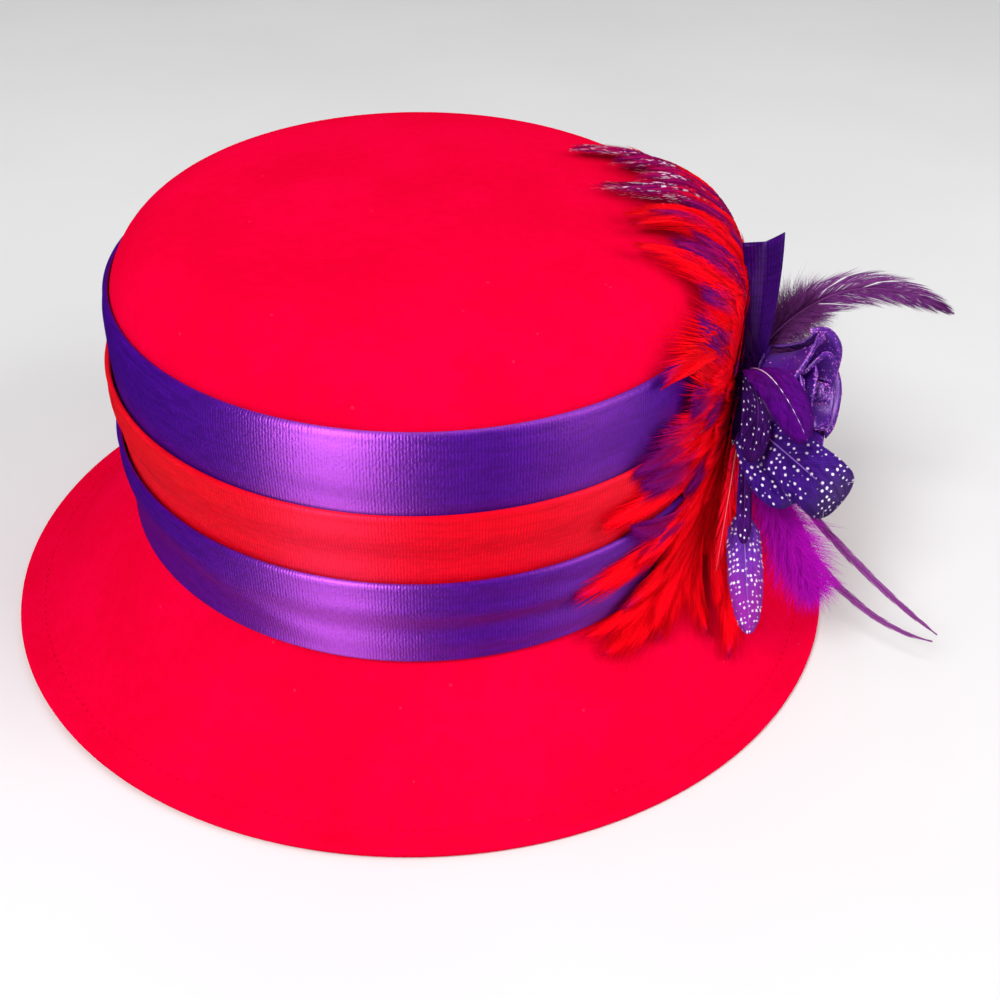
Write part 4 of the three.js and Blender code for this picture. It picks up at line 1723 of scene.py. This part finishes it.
@dataclass
class Rose:
    """Satin rose that faces out from the crown, with glitter on its rims and in its heart."""

    frame: OrnamentFrame
    finish: SatinFinish
    tilt_up: float = math.radians(12)
    tilt_front: float = math.radians(6)
    turn_front: float = math.radians(20)
    stand_off: float = 4.2 * MM
    raised: float = 3 * MM
    cloth: float = 0.9 * MM
    spiral: float = 3 * MM
    lean: float = math.radians(60)
    heart_radius: float = 4.7 * MM
    heart_height: float = 17 * MM
    heart_turns: float = 2.4
    back_radius: float = 12.5 * MM
    back_drop: float = 0.55 * MM
    foot_share: float = 0.95
    ripple: float = 0.35 * MM
    rim_roll: float = 0.9 * MM
    rings: tuple[PetalRing, ...] = (
        PetalRing(3, 5.6 * MM, 4.2 * MM, 20.5 * MM, 72, 20),
        PetalRing(5, 9.6 * MM, 7 * MM, 19.5 * MM, 44, 50),
    )

    def _to_hat(self, points: np.ndarray) -> np.ndarray:
        """Takes points from the rose's own frame, with its axis on Z, to the hat.

        Args:
            points: Rows and columns of points.

        Returns:
            The points on the hat.
        """
        turn = (
            Matrix.Rotation(-self.turn_front, 3, "Z")
            @ Matrix.Rotation(self.tilt_front, 3, "X")
            @ Matrix.Rotation(math.pi / 2 - self.tilt_up, 3, "Y")
        )
        local = points.reshape(-1, 3) @ np.array(turn).T
        local += (self.frame.base_thick + self.stand_off, 0.0, self.raised)
        return self.frame.to_hat(local).reshape(points.shape)

    def build(self, growth: Growth, glitter: Material) -> None:
        """Builds the heart, the petals and their glitter.

        Args:
            growth: The glitter tree.
            glitter: The glitter's material.
        """
        material = self.finish.material()
        self._back(material)
        pieces = [self._heart(material)]
        number = 0
        for ring in self.rings:
            for place in range(ring.petals):
                number += 1
                turn = math.radians(ring.start) + 2 * math.pi * place / ring.petals
                pieces.append(self._petal(f"rose_petal_{number}", ring, turn, material))
        for piece in pieces:
            sizes = {"Density": 1.3e6, "Flake": 0.27 * MM, "Seed": 3}
            strewn = growth.grow(f"{piece.name}_glitter", piece.data.copy(), glitter, sizes)
            settle(strewn, "satin_rose")

    def _petal(self, name: str, ring: PetalRing, turn: float, material: Material) -> bpy.types.Object:
        """Builds one petal, whose leading side lies outside the next one's trailing side.

        Args:
            name: The solid that it stands for.
            ring: Its ring.
            turn: Its direction round the rose.
            material: The satin.

        Returns:
            The piece.
        """
        across, share = np.meshgrid(np.linspace(-1, 1, 27), np.linspace(0, 1, 23), indexing="xy")
        half_angle = math.radians(ring.spread)
        angle = turn + across * half_angle * lerp(self.foot_share, 1.0, share)
        lean = self.lean * share**2
        wave = self.ripple * np.sin(5 * across + 3 * turn) * share**3
        depth = self.spiral * (across + 1) / 2 + wave
        roll = self.rim_roll * smoothstep(share, 0.86, 1.0)
        radius = ring.foot + ring.bloom * share**1.8 + roll
        height = ring.height * share * (1 - 0.15 * across**2 * share**2)
        height = height * (1 - 0.12 * share**4) - 0.8 * roll
        points = polar(radius + depth * np.cos(lean), angle, height - depth * np.sin(lean))
        side_rim = smoothstep(np.abs(across), 0.86, 1.0) * smoothstep(share, 0.3, 0.7)
        rim = np.maximum(smoothstep(share, 0.8, 1.0), side_rim)
        cloth_run = across * half_angle * (ring.foot + ring.bloom / 2)
        uv = np.stack([cloth_run, share * ring.height], axis=-1)
        skin = Skin()
        skin.slab(self._to_hat(points), self.cloth, uv, rim * 0.7 + 0.09)
        piece = add_piece(skin.mesh(f"{name}_satin", "glitter"), material)
        settle(piece, "satin_rose", name)
        width = 1.75 * half_angle * (ring.foot + 0.36 * ring.bloom)
        1.1 * ring.height
        return piece

    def _back(self, material: Material) -> None:
        """Builds the stiff round behind the petals, which their feet are glued to.

        Args:
            material: The satin that covers it.
        """
        rounds = 48
        turn, row = np.meshgrid(round_angles(rounds), np.arange(5), indexing="xy")
        radius = np.array([0.0, 0.97, 1.0, 0.97, 0.0])[row] * self.back_radius
        lift = -np.array([0.4, 0.4, 0.2, 0.0, 0.0])[row] * MM - self.back_drop
        round_run = np.linspace(0, 2 * math.pi * self.back_radius, rounds + 1)
        across_run = np.array([0.0, 1.0, 1.03, 1.06, 2.06]) * self.back_radius
        skin = Skin()
        skin.grid(self._to_hat(polar(radius, turn, lift)), lattice(round_run, across_run), (False, True))
        settle(add_piece(skin.mesh("rose_back"), material), "satin_rose")

    def _heart(self, material: Material) -> bpy.types.Object:
        """Builds the rolled bud in the middle.

        Args:
            material: The satin.

        Returns:
            The piece.
        """
        share, level = np.meshgrid(np.linspace(0, 1, 72), np.linspace(0, 1, 16), indexing="xy")
        angle = share * 2 * math.pi * self.heart_turns
        radius = lerp(1.0 * MM, self.heart_radius - 0.5 * MM, share) * (1 - 0.12 * level**3)
        top = self.heart_height * lerp(0.9, 1.0, share)
        points = polar(radius, angle, top * level)
        uv = np.stack([angle * self.heart_radius / 2, level * self.heart_height], axis=-1)
        skin = Skin()
        skin.slab(self._to_hat(points), 0.7 * MM, uv, 0.25 + 0.75 * smoothstep(level, 0.55, 0.9))
        rounds = 20
        round_angle, rise = np.meshgrid(round_angles(rounds), np.arange(6), indexing="xy")
        core = np.array([0.0, 3.4, 3.6, 3.4, 2.2, 0.0])[rise] * MM
        lift = np.array([0.3, 0.3, 6.8, 12.0, 14.1, 14.5])[rise] * MM
        inner = self._to_hat(polar(core, round_angle, lift))
        flat = lattice(np.arange(rounds + 1) * MM, np.arange(6) * 3 * MM)
        skin.grid(inner, flat, (False, True), np.full(core.shape, 1.0))
        piece = add_piece(skin.mesh("rose_heart_satin", "glitter"), material)
        settle(piece, "satin_rose", "rose_heart")
        return piece


@dataclass
class Ornament:
    """What the pad carries: base, rose, ribbon tail, feathers, marabou and quills."""

    frame: OrnamentFrame
    growth: Growth

    def base(self, finish: ClothFinish) -> None:
        """Builds the hidden disc that carries the rose and the feather roots.

        Args:
            finish: Its cloth.
        """
        radius, thick = self.frame.base_radius, self.frame.base_thick
        lift = np.array([0, 0, 0.25, 0.8, 2.5, 4.2, 4.75, 5, 5]) / 5 * thick
        reach = np.array([0, 0.93, 0.985, 1, 0.985, 1, 0.985, 0.93, 0]) * radius
        rounds = 48
        angle = round_angles(rounds)
        ripple = 1 + 0.006 * np.sin(7 * angle)
        points = np.stack(np.broadcast_arrays(
            lift[:, None],
            reach[:, None] * np.cos(angle) * ripple,
            reach[:, None] * np.sin(angle) * ripple,
        ), axis=-1)
        uv = lattice(np.arange(rounds + 1) * MM, np.arange(len(lift)) * MM)
        skin = Skin()
        skin.grid(self.frame.to_hat(points), uv, (False, True))
        settle(add_piece(skin.mesh("base_disc"), finish.material()), "base_cloth", "ornament_base")

    def fluff(self, finish: FeatherFinish) -> None:
        """Builds the dark down that stands round the disc and hides its rim.

        Args:
            finish: Its finish.
        """
        random = np.random.default_rng(51)
        strands = 4400
        angle = random.uniform(0, 2 * np.pi, strands)
        rim = 0.97 * self.frame.base_radius
        rise = random.uniform(0.1, 0.95, strands) * self.frame.base_thick
        reach = random.uniform(2 * MM, 9 * MM, strands)
        sprout = Sprout()
        sprout.plant(
            polar(rim, angle, rise), [], barb=1.0, turn=angle + random.normal(0, 0.7, strands),
            pitch=np.radians(random.uniform(-20, 60, strands)), reach=reach, width=0.14 * MM,
            bow_z=random.normal(0, 0.15, strands) * reach, place=0.5, tone=random.random(strands),
        )
        sizes = {"Barb Ridge": 0.8, "Barb Steps": 2, "Turn Jitter": 0.1, "Reach Jitter": 0.2, "Seed": 52}
        piece = sprout.grow(
            "base_fluff", self.growth, finish.material(), sizes,
            lambda flat: self.frame.to_hat(flat[:, [2, 0, 1]]),
        )
        settle(piece, "feather_mauve")

    def ribbon(self, finish: SatinFinish) -> None:
        """Builds the cut end of ribbon that stands up beside the crown.

        Args:
            finish: Its satin.
        """
        spine = self.frame.spine(Reach((1, 1, 50), (1, 0, 0), 3, 0, (-0.3, 1, 0)))
        rows, columns = 34, 15
        share, across = np.meshgrid(np.linspace(0, 1, rows), np.linspace(-1, 1, columns), indexing="ij")
        run = share[:, 0]
        line = spine.place(np.stack([run * spine.length, 0 * run, 0 * run], axis=1))
        inner_half = lerp(4.3 * MM, 5.9 * MM, share)
        outer_half = lerp(2.7 * MM, 4.9 * MM, share)
        points = np.repeat(line[:, None, :], columns, axis=1)
        points[..., 0] += across * np.where(across < 0, inner_half, outer_half)
        ripple = 0.4 * MM * np.sin(7 * share + 2 * across)
        points[..., 1] -= 2.2 * MM * (1 - np.abs(across)) * share + ripple
        points[..., 2] += across * 2.2 * MM * share
        points[..., 2] = np.maximum(points[..., 2], line[0, 2])
        uv = np.stack([across * 5 * MM, share * spine.length], axis=-1)
        skin = Skin()
        skin.slab(self.frame.to_hat(points), 0.8 * MM, uv)
        piece = add_piece(skin.mesh("ribbon_end"), finish.material())
        settle(piece, "satin_purple", "ribbon_tail")
        spine.length
        9.2 * MM * spine.length

    def feathers(self, rows: Sequence[LooseFeather]) -> None:
        """Builds the loose feathers, with one material for each finish.

        Args:
            rows: The feathers.
        """
        materials = {finish: finish.material() for finish in {row.finish: None for row in rows}}
        for row in rows:
            row.build(self.frame, self.growth, materials[row.finish])

    def quills(self, finish: FeatherFinish) -> None:
        """Builds the two stripped quills, with the short nap that is left on them.

        Args:
            finish: Their finish.
        """
        material = finish.material()
        look = (0.0, 1.0, 0.5)
        runs = {
            "quill_upper": Reach((66, 30, -58), (0, 0, -5), 3.8, -20, look),
            "quill_lower": Reach((65, 31, -60), (0, 5, -12), 1.4, -15, look),
        }
        for seed, (name, reach) in enumerate(runs.items(), 11):
            vane = Vane(
                half=2.2 * MM, widest=0.55, pitch=0.2 * MM, barb=0.1 * MM, root_angle=17, tip_angle=8,
                shaft=0.7 * MM, bare=0.12, clump=9 * MM, parting=1.5,
            )
            LooseFeather(name, reach, vane, finish, "quill", Look(0.5), seed=seed).build(
                self.frame, self.growth, material
            )


def loose_feathers() -> list[LooseFeather]:
    """Lists the ornament's feathers.

    Returns:
        The feathers, from the plume at the back to the narrow red one in front.
    """
    mauve = FeatherFinish(
        "mauve hackle", deep=(0.06, 0.008, 0.09), bright=(0.21, 0.045, 0.22), tip=(0.03, 0.003, 0.04),
        quill=(0.15, 0.03, 0.16), marking=Marking.TIPPED,
    )
    leaf = FeatherFinish(
        "violet hackle", deep=(0.03, 0.001, 0.08), bright=(0.11, 0.003, 0.22), tip=(0.05, 0.0, 0.1),
        quill=(0.72, 0.50, 0.80),
    )
    guinea = FeatherFinish(
        "dark guinea", deep=(0.018, 0.002, 0.045), bright=(0.075, 0.008, 0.17), tip=(0.03, 0.003, 0.06),
        quill=(0.12, 0.02, 0.2), marking=Marking.DOTTED, dot_pitch=2.0 * MM, dot_size=0.18,
    )
    indigo = FeatherFinish(
        "indigo guinea", deep=(0.022, 0.004, 0.11), bright=(0.068, 0.013, 0.25), tip=(0.05, 0.025, 0.10),
        quill=(0.2, 0.1, 0.4), marking=Marking.DOTTED, dot_pitch=1.9 * MM, dot_size=0.24,
    )
    # The lilac guinea's magenta tip colour is partly painted light, standing in for the red that shines
    # through the thin feather ends.
    lilac = FeatherFinish(
        "lilac guinea", deep=(0.075, 0.012, 0.24), bright=(0.19, 0.045, 0.46), tip=(0.27, 0.02, 0.30),
        quill=(0.3, 0.15, 0.5), dot=(0.95, 0.78, 0.93), marking=Marking.DOTTED, dot_pitch=1.5 * MM,
        dot_size=0.27,
    )
    scarlet = FeatherFinish(
        "scarlet hackle", deep=(0.40, 0.001, 0.01), bright=(0.78, 0.003, 0.015), tip=(0.85, 0.25, 0.20),
        quill=(0.75, 0.12, 0.14),
    )
    # The marabou's colours are partly its own violet dye and partly painted light: they are lifted and
    # made pinker to stand in for the red that shines through its fluff.
    fluff = FeatherFinish(
        "violet marabou", deep=(0.26, 0.0, 0.32), bright=(0.70, 0.008, 0.66), tip=(0.3, 0.0, 0.5),
        quill=(0.42, 0.006, 0.58), roughness=0.65,
    )
    webbed = {
        "pitch": 0.26 * MM, "barb": 0.22 * MM, "root_angle": 55.0, "tip_angle": 34.0, "clump": 17 * MM,
        "parting": 0.6, "foot": 0.4, "mottle": 0.12, "taper": 2.4, "stray": 0.005, "fray": 0.008,
        "blunt": 0.2,
    }
    return [
        LooseFeather(
            "hackle_plume", Reach((57, -10, 27), (-3, -8, 10), 3, 0, (0.2, 1, 0.5)),
            Vane(
                8.0 * MM, 0.45, pitch=0.17 * MM, barb=0.1 * MM, root_angle=36, tip_angle=12,
                shaft=0.4 * MM, bare=0.12, clump=7 * MM, parting=1.6, sweep=0.16, taper=1.7, foot=0.3,
            ),
            mauve, "feather_mauve", Look(0.5, 0.12),
            Down(
                3600, reach=(6 * MM, 15 * MM), span=(0.0, 0.36), angle=(30, 100), pitch=50.0,
                strand=0.05 * MM,
            ),
            cup=4.0, seed=21,
        ),
        LooseFeather(
            "hackle_leaf", Reach((18, 33, 7), (-2, 8, 11), 1.8, 58, (0, 0.5, 1)),
            Vane(6.6 * MM, 0.7, **webbed),
            leaf, "feather_mauve", Look(0.5), cup=10.0, seed=22,
        ),
        LooseFeather(
            "guinea_upper", Reach((4, 33, -2), (2, 2, 5), 1, 60, (1, 0.5, 0.6)),
            Vane(8.4 * MM, 0.55, **webbed),
            guinea, "feather_guinea", Look(0.4, 0.0, 1.0), cup=8.0, seed=23,
        ),
        LooseFeather(
            "guinea_front", Reach((17, 34, -14), (0, 2, 1), 1.6, 0, (0.6, 1, 0.5)),
            Vane(8.8 * MM, 0.65, **webbed),
            indigo, "feather_guinea", Look(0.5, 0.0, 1.0), cup=8.0, seed=24,
        ),
        LooseFeather(
            "guinea_low", Reach((31, 28, -16), (2.5, 11.5, 5), 4.5, 10, (0.2, 1, 0.5)),
            Vane(9.8 * MM, 0.75, **webbed),
            indigo, "feather_guinea", Look(0.5, 0.3, 1.0), cup=8.0, seed=25,
        ),
        LooseFeather(
            "guinea_hanging", Reach((10, 49, -50), (0, 6, 2), 0.8, 0, (0.6, 1, 0.5)),
            Vane(6.6 * MM, 0.7, bare=0.4, **{**webbed, "taper": 1.7, "fray": 0.04}),
            lilac, "feather_guinea", Look(0.5, 0.3, 1.0), cup=10.0, seed=26,
        ),
        LooseFeather(
            "guinea_small", Reach((5, 40, -25), (0, 3, 1), 2.9, -3, (0.8, 1, 0.5)),
            Vane(3.3 * MM, 0.75, **webbed),
            guinea, "feather_guinea", Look(0.5, 0.0, 1.0), cup=10.0, seed=27,
        ),
        LooseFeather(
            "red_feather", Reach((-2, 50, -28), (0, 2, 3), 1, 0, (0.8, 1, 0.4)),
            Vane(
                3.8 * MM, 0.7, pitch=0.3 * MM, barb=0.13 * MM, root_angle=28, tip_angle=12,
                shaft=0.3 * MM,
            ),
            scarlet, "feather_red", Look(0.6), cup=8.0, seed=28,
        ),
        LooseFeather(
            "marabou_plume", Reach((29, 34, -45), (0, 3, -1), 3.4, -8, (0.4, 1, 0.5)),
            Vane(
                4.5 * MM, 0.6, pitch=0.4 * MM, barb=0.06 * MM, root_angle=50, tip_angle=20,
                shaft=0.1 * MM,
            ),
            fluff, "marabou", Look(0.55),
            Down(
                6000, reach=(6 * MM, 17 * MM), span=(0.08, 0.95), angle=(4, 62), strand=0.06 * MM,
                droop=0.3, spread=1.6 * MM,
            ),
            cup=2.0, seed=29,
        ),
    ]


def satin_band(form: HatForm, purple: SatinFinish, red: SatinFinish) -> list[SatinFold]:
    """Lists the band's three folds, from the lowest to the highest.

    Args:
        form: The hat.
        purple: The outer folds' satin.
        red: The middle fold's satin.

    Returns:
        The folds.
    """
    lower = (
        Wrinkle(-70, 0.78, 34, 0.07, -0.6 * MM), Wrinkle(-68, 0.60, 30, 0.07, 0.5 * MM),
        Wrinkle(-66, 0.40, 30, 0.08, -0.7 * MM), Wrinkle(-68, 0.18, 30, 0.09, 0.6 * MM),
        Wrinkle(-122, 0.45, 18, 0.16, 0.7 * MM, -0.018),
    )
    middle = (
        Wrinkle(-158, 0.35, 16, 0.08, 0.5 * MM, -0.008), Wrinkle(-152, 0.62, 18, 0.08, 0.45 * MM, -0.008),
        Wrinkle(-100, 0.5, 24, 0.12, -0.3 * MM),
    )
    upper = (Wrinkle(-112, 0.45, 24, 0.22, 0.3 * MM), Wrinkle(-60, 0.4, 20, 0.14, -0.3 * MM))
    lap = 2 * MM
    return [
        SatinFold(
            form, "band_lower", purple, "satin_purple", bottom=39.4 * MM, top=66.8 * MM, lap=lap,
            swell=0.5 * MM, creases=lower, seed=41,
        ),
        SatinFold(
            form, "band_middle", red, "satin_red", bottom=62.5 * MM, top=88 * MM, lap=lap,
            swell=0.4 * MM, creases=middle, seed=42,
        ),
        SatinFold(
            form, "band_upper", purple, "satin_purple", bottom=84 * MM, top=110 * MM, lap=0.0,
            swell=0.4 * MM, creases=upper, seed=43,
        ),
    ]


@dataclass
class Studio:
    """Pale floor, soft light and the camera, placed from the hat's axis."""

    form: HatForm
    lens: float = 46.61
    sensor: float = 36.0
    eye: Triple = (0.0, -0.34853, 0.27384)
    forward: Triple = (0.05781802, 0.80775379, -0.58667784)
    upward: Triple = (0.02184686, 0.58649646, 0.8096571)
    floor_half: float = 30.0
    ambient: float = 0.46

    def build(self) -> None:
        """Builds the floor, the lights, the surroundings and the camera."""
        self._floor()
        self._surroundings()
        self._light("key_softbox", place=(-0.62, -0.90, 1.20), size=(0.55, 0.55), power=21.0)
        self._light("side_softbox", place=(1.20, -0.55, 0.95), size=(0.9, 0.9), power=15.0)
        for gleam in (
            self._light("gleam_softbox", place=(-0.63, -1.03, 0.42), size=(0.72, 0.8), power=31.0),
            self._light("crest_softbox", place=(0.25, 0.35, 1.5), size=(1.2, 0.6), power=12.0),
        ):
            gleam.visible_diffuse = False
        self._camera()

    def _floor(self) -> None:
        """Builds the floor."""
        half = self.floor_half
        side = np.linspace(-half, half, 9)
        points = np.stack(np.meshgrid(side, side, [-0.2 * MM], indexing="xy"), axis=-1)[:, :, 0, :]
        skin = Skin()
        skin.grid(points, points[..., :2])
        finish = ClothFinish("pale floor", (0.69, 0.69, 0.695), (0.71, 0.71, 0.715), 6.0, 0.9)
        floor = add_piece(skin.mesh("floor"), finish.material())
        floor.data.flip_normals()
        floor.visible_glossy = False

    def _surroundings(self) -> None:
        """Sets the even light from all round and the plain view of it."""
        scene = bpy.context.scene
        scene.world = bpy.data.worlds.new("studio")
        scene.world.use_nodes = True
        background = scene.world.node_tree.nodes["Background"]
        background.inputs["Color"].default_value = (1.0, 1.0, 1.0, 1.0)
        background.inputs["Strength"].default_value = self.ambient
        scene.world.cycles_visibility.glossy = False
        scene.view_settings.view_transform = "Standard"
        scene.view_settings.look = "None"

    def _light(
        self, name: str, place: Triple, size: tuple[float, float], power: float
    ) -> bpy.types.Object:
        """Adds a softbox that faces the hat.

        Args:
            name: Its name.
            place: Its place from the foot of the hat's axis.
            size: Its width and height.
            power: Its power, in watts.

        Returns:
            The softbox.
        """
        light = bpy.data.lights.new(name, "AREA")
        light.shape = "RECTANGLE"
        light.size, light.size_y = size
        light.energy = power
        lamp = bpy.data.objects.new(name, light)
        lamp.location = Vector(place) + Vector((self.form.axis_x, 0, 0))
        aim = Vector((self.form.axis_x, 0, 0.06)) - lamp.location
        lamp.rotation_euler = aim.to_track_quat("-Z", "Y").to_euler()
        bpy.context.scene.collection.objects.link(lamp)
        return lamp

    def _camera(self) -> None:
        """Adds the camera."""
        data = bpy.data.cameras.new("photo_view")
        data.lens = self.lens
        data.sensor_width = self.sensor
        data.sensor_fit = "HORIZONTAL"
        data.clip_start = 0.01
        forward = Vector(self.forward).normalized()
        right = forward.cross(Vector(self.upward)).normalized()
        axes = Matrix((right, right.cross(forward), -forward)).transposed()
        camera = bpy.data.objects.new("photo_view", data)
        eye = Vector(self.eye) + Vector((self.form.axis_x, 0, 0))
        camera.matrix_world = Matrix.Translation(eye) @ axes.to_4x4()
        bpy.context.scene.collection.objects.link(camera)
        bpy.context.scene.camera = camera


def main() -> None:
    """Loads the frame and builds the hat on it."""
    logging.basicConfig(level=logging.INFO, format="%(message)s")
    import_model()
    low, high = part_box("felt_body")
    form = HatForm(axis_x=(low[0] + high[0]) / 2)
    Studio(form).build()

    felt = FeltBody(form, FeltFinish())
    felt.build()
    thread = ClothFinish(
        "red thread", deep=(0.58, 0.0003, 0.018), bright=(0.70, 0.0004, 0.030), grain=2200.0, gloss=0.0
    )
    felt.sew(stitch_growth(), thread)

    purple = SatinFinish(
        "purple satin", deep=(0.030, 0.0002, 0.165), light=(0.075, 0.0004, 0.36), gleam=(0.85, 0.16, 1.0)
    )
    red = SatinFinish(
        "red satin", deep=(0.62, 0.0002, 0.006), light=(0.98, 0.0004, 0.012), gleam=(1.0, 0.08, 0.25),
        level=0.35,
    )
    materials = {finish: finish.material() for finish in (purple, red)}
    for fold in satin_band(form, purple, red):
        fold.build(materials[fold.finish])

    barbs = feather_growth()
    # The red hackle's feathers darken towards their roots as painted shade.
    hackle = FeatherFinish(
        "red hackle", deep=(0.80, 0.0004, 0.005), bright=(1.0, 0.0008, 0.010), tip=(0.10, 0.002, 0.125),
        quill=(0.85, 0.004, 0.02), marking=Marking.TIPPED, painted_root_shade=0.15,
    )
    FeatherPad(form, hackle).build(barbs)

    ornament = Ornament(OrnamentFrame(form), barbs)
    cloth = ClothFinish("base felt", deep=(0.03, 0.004, 0.05), bright=(0.06, 0.01, 0.09), grain=900.0)
    ornament.base(cloth)
    down = FeatherFinish(
        "dark down", deep=(0.010, 0.001, 0.03), bright=(0.05, 0.003, 0.12), tip=(0.01, 0.001, 0.03),
        quill=(0.02, 0.002, 0.05), roughness=0.65,
    )
    ornament.fluff(down)
    violet = SatinFinish(
        "rose satin", deep=(0.042, 0.001, 0.18), light=(0.15, 0.009, 0.48), gleam=(0.75, 0.42, 1.0),
        rib=0.6 * MM, roughness=0.42, stretch=0.4,
    )
    Rose(ornament.frame, violet).build(glitter_growth(), GlitterFinish().material())
    ribbon = SatinFinish(
        "ribbon satin", deep=(0.020, 0.0006, 0.075), light=(0.055, 0.002, 0.17), gleam=(0.7, 0.4, 1.0),
        level=0.07,
    )
    ornament.ribbon(ribbon)
    ornament.feathers(loose_feathers())
    quill = FeatherFinish(
        "stripped quill", deep=(0.16, 0.03, 0.17), bright=(0.35, 0.10, 0.36), tip=(0.05, 0.0, 0.06),
        quill=(0.17, 0.03, 0.17),
    )
    ornament.quills(quill)


if __name__ == "__main__":
    main()
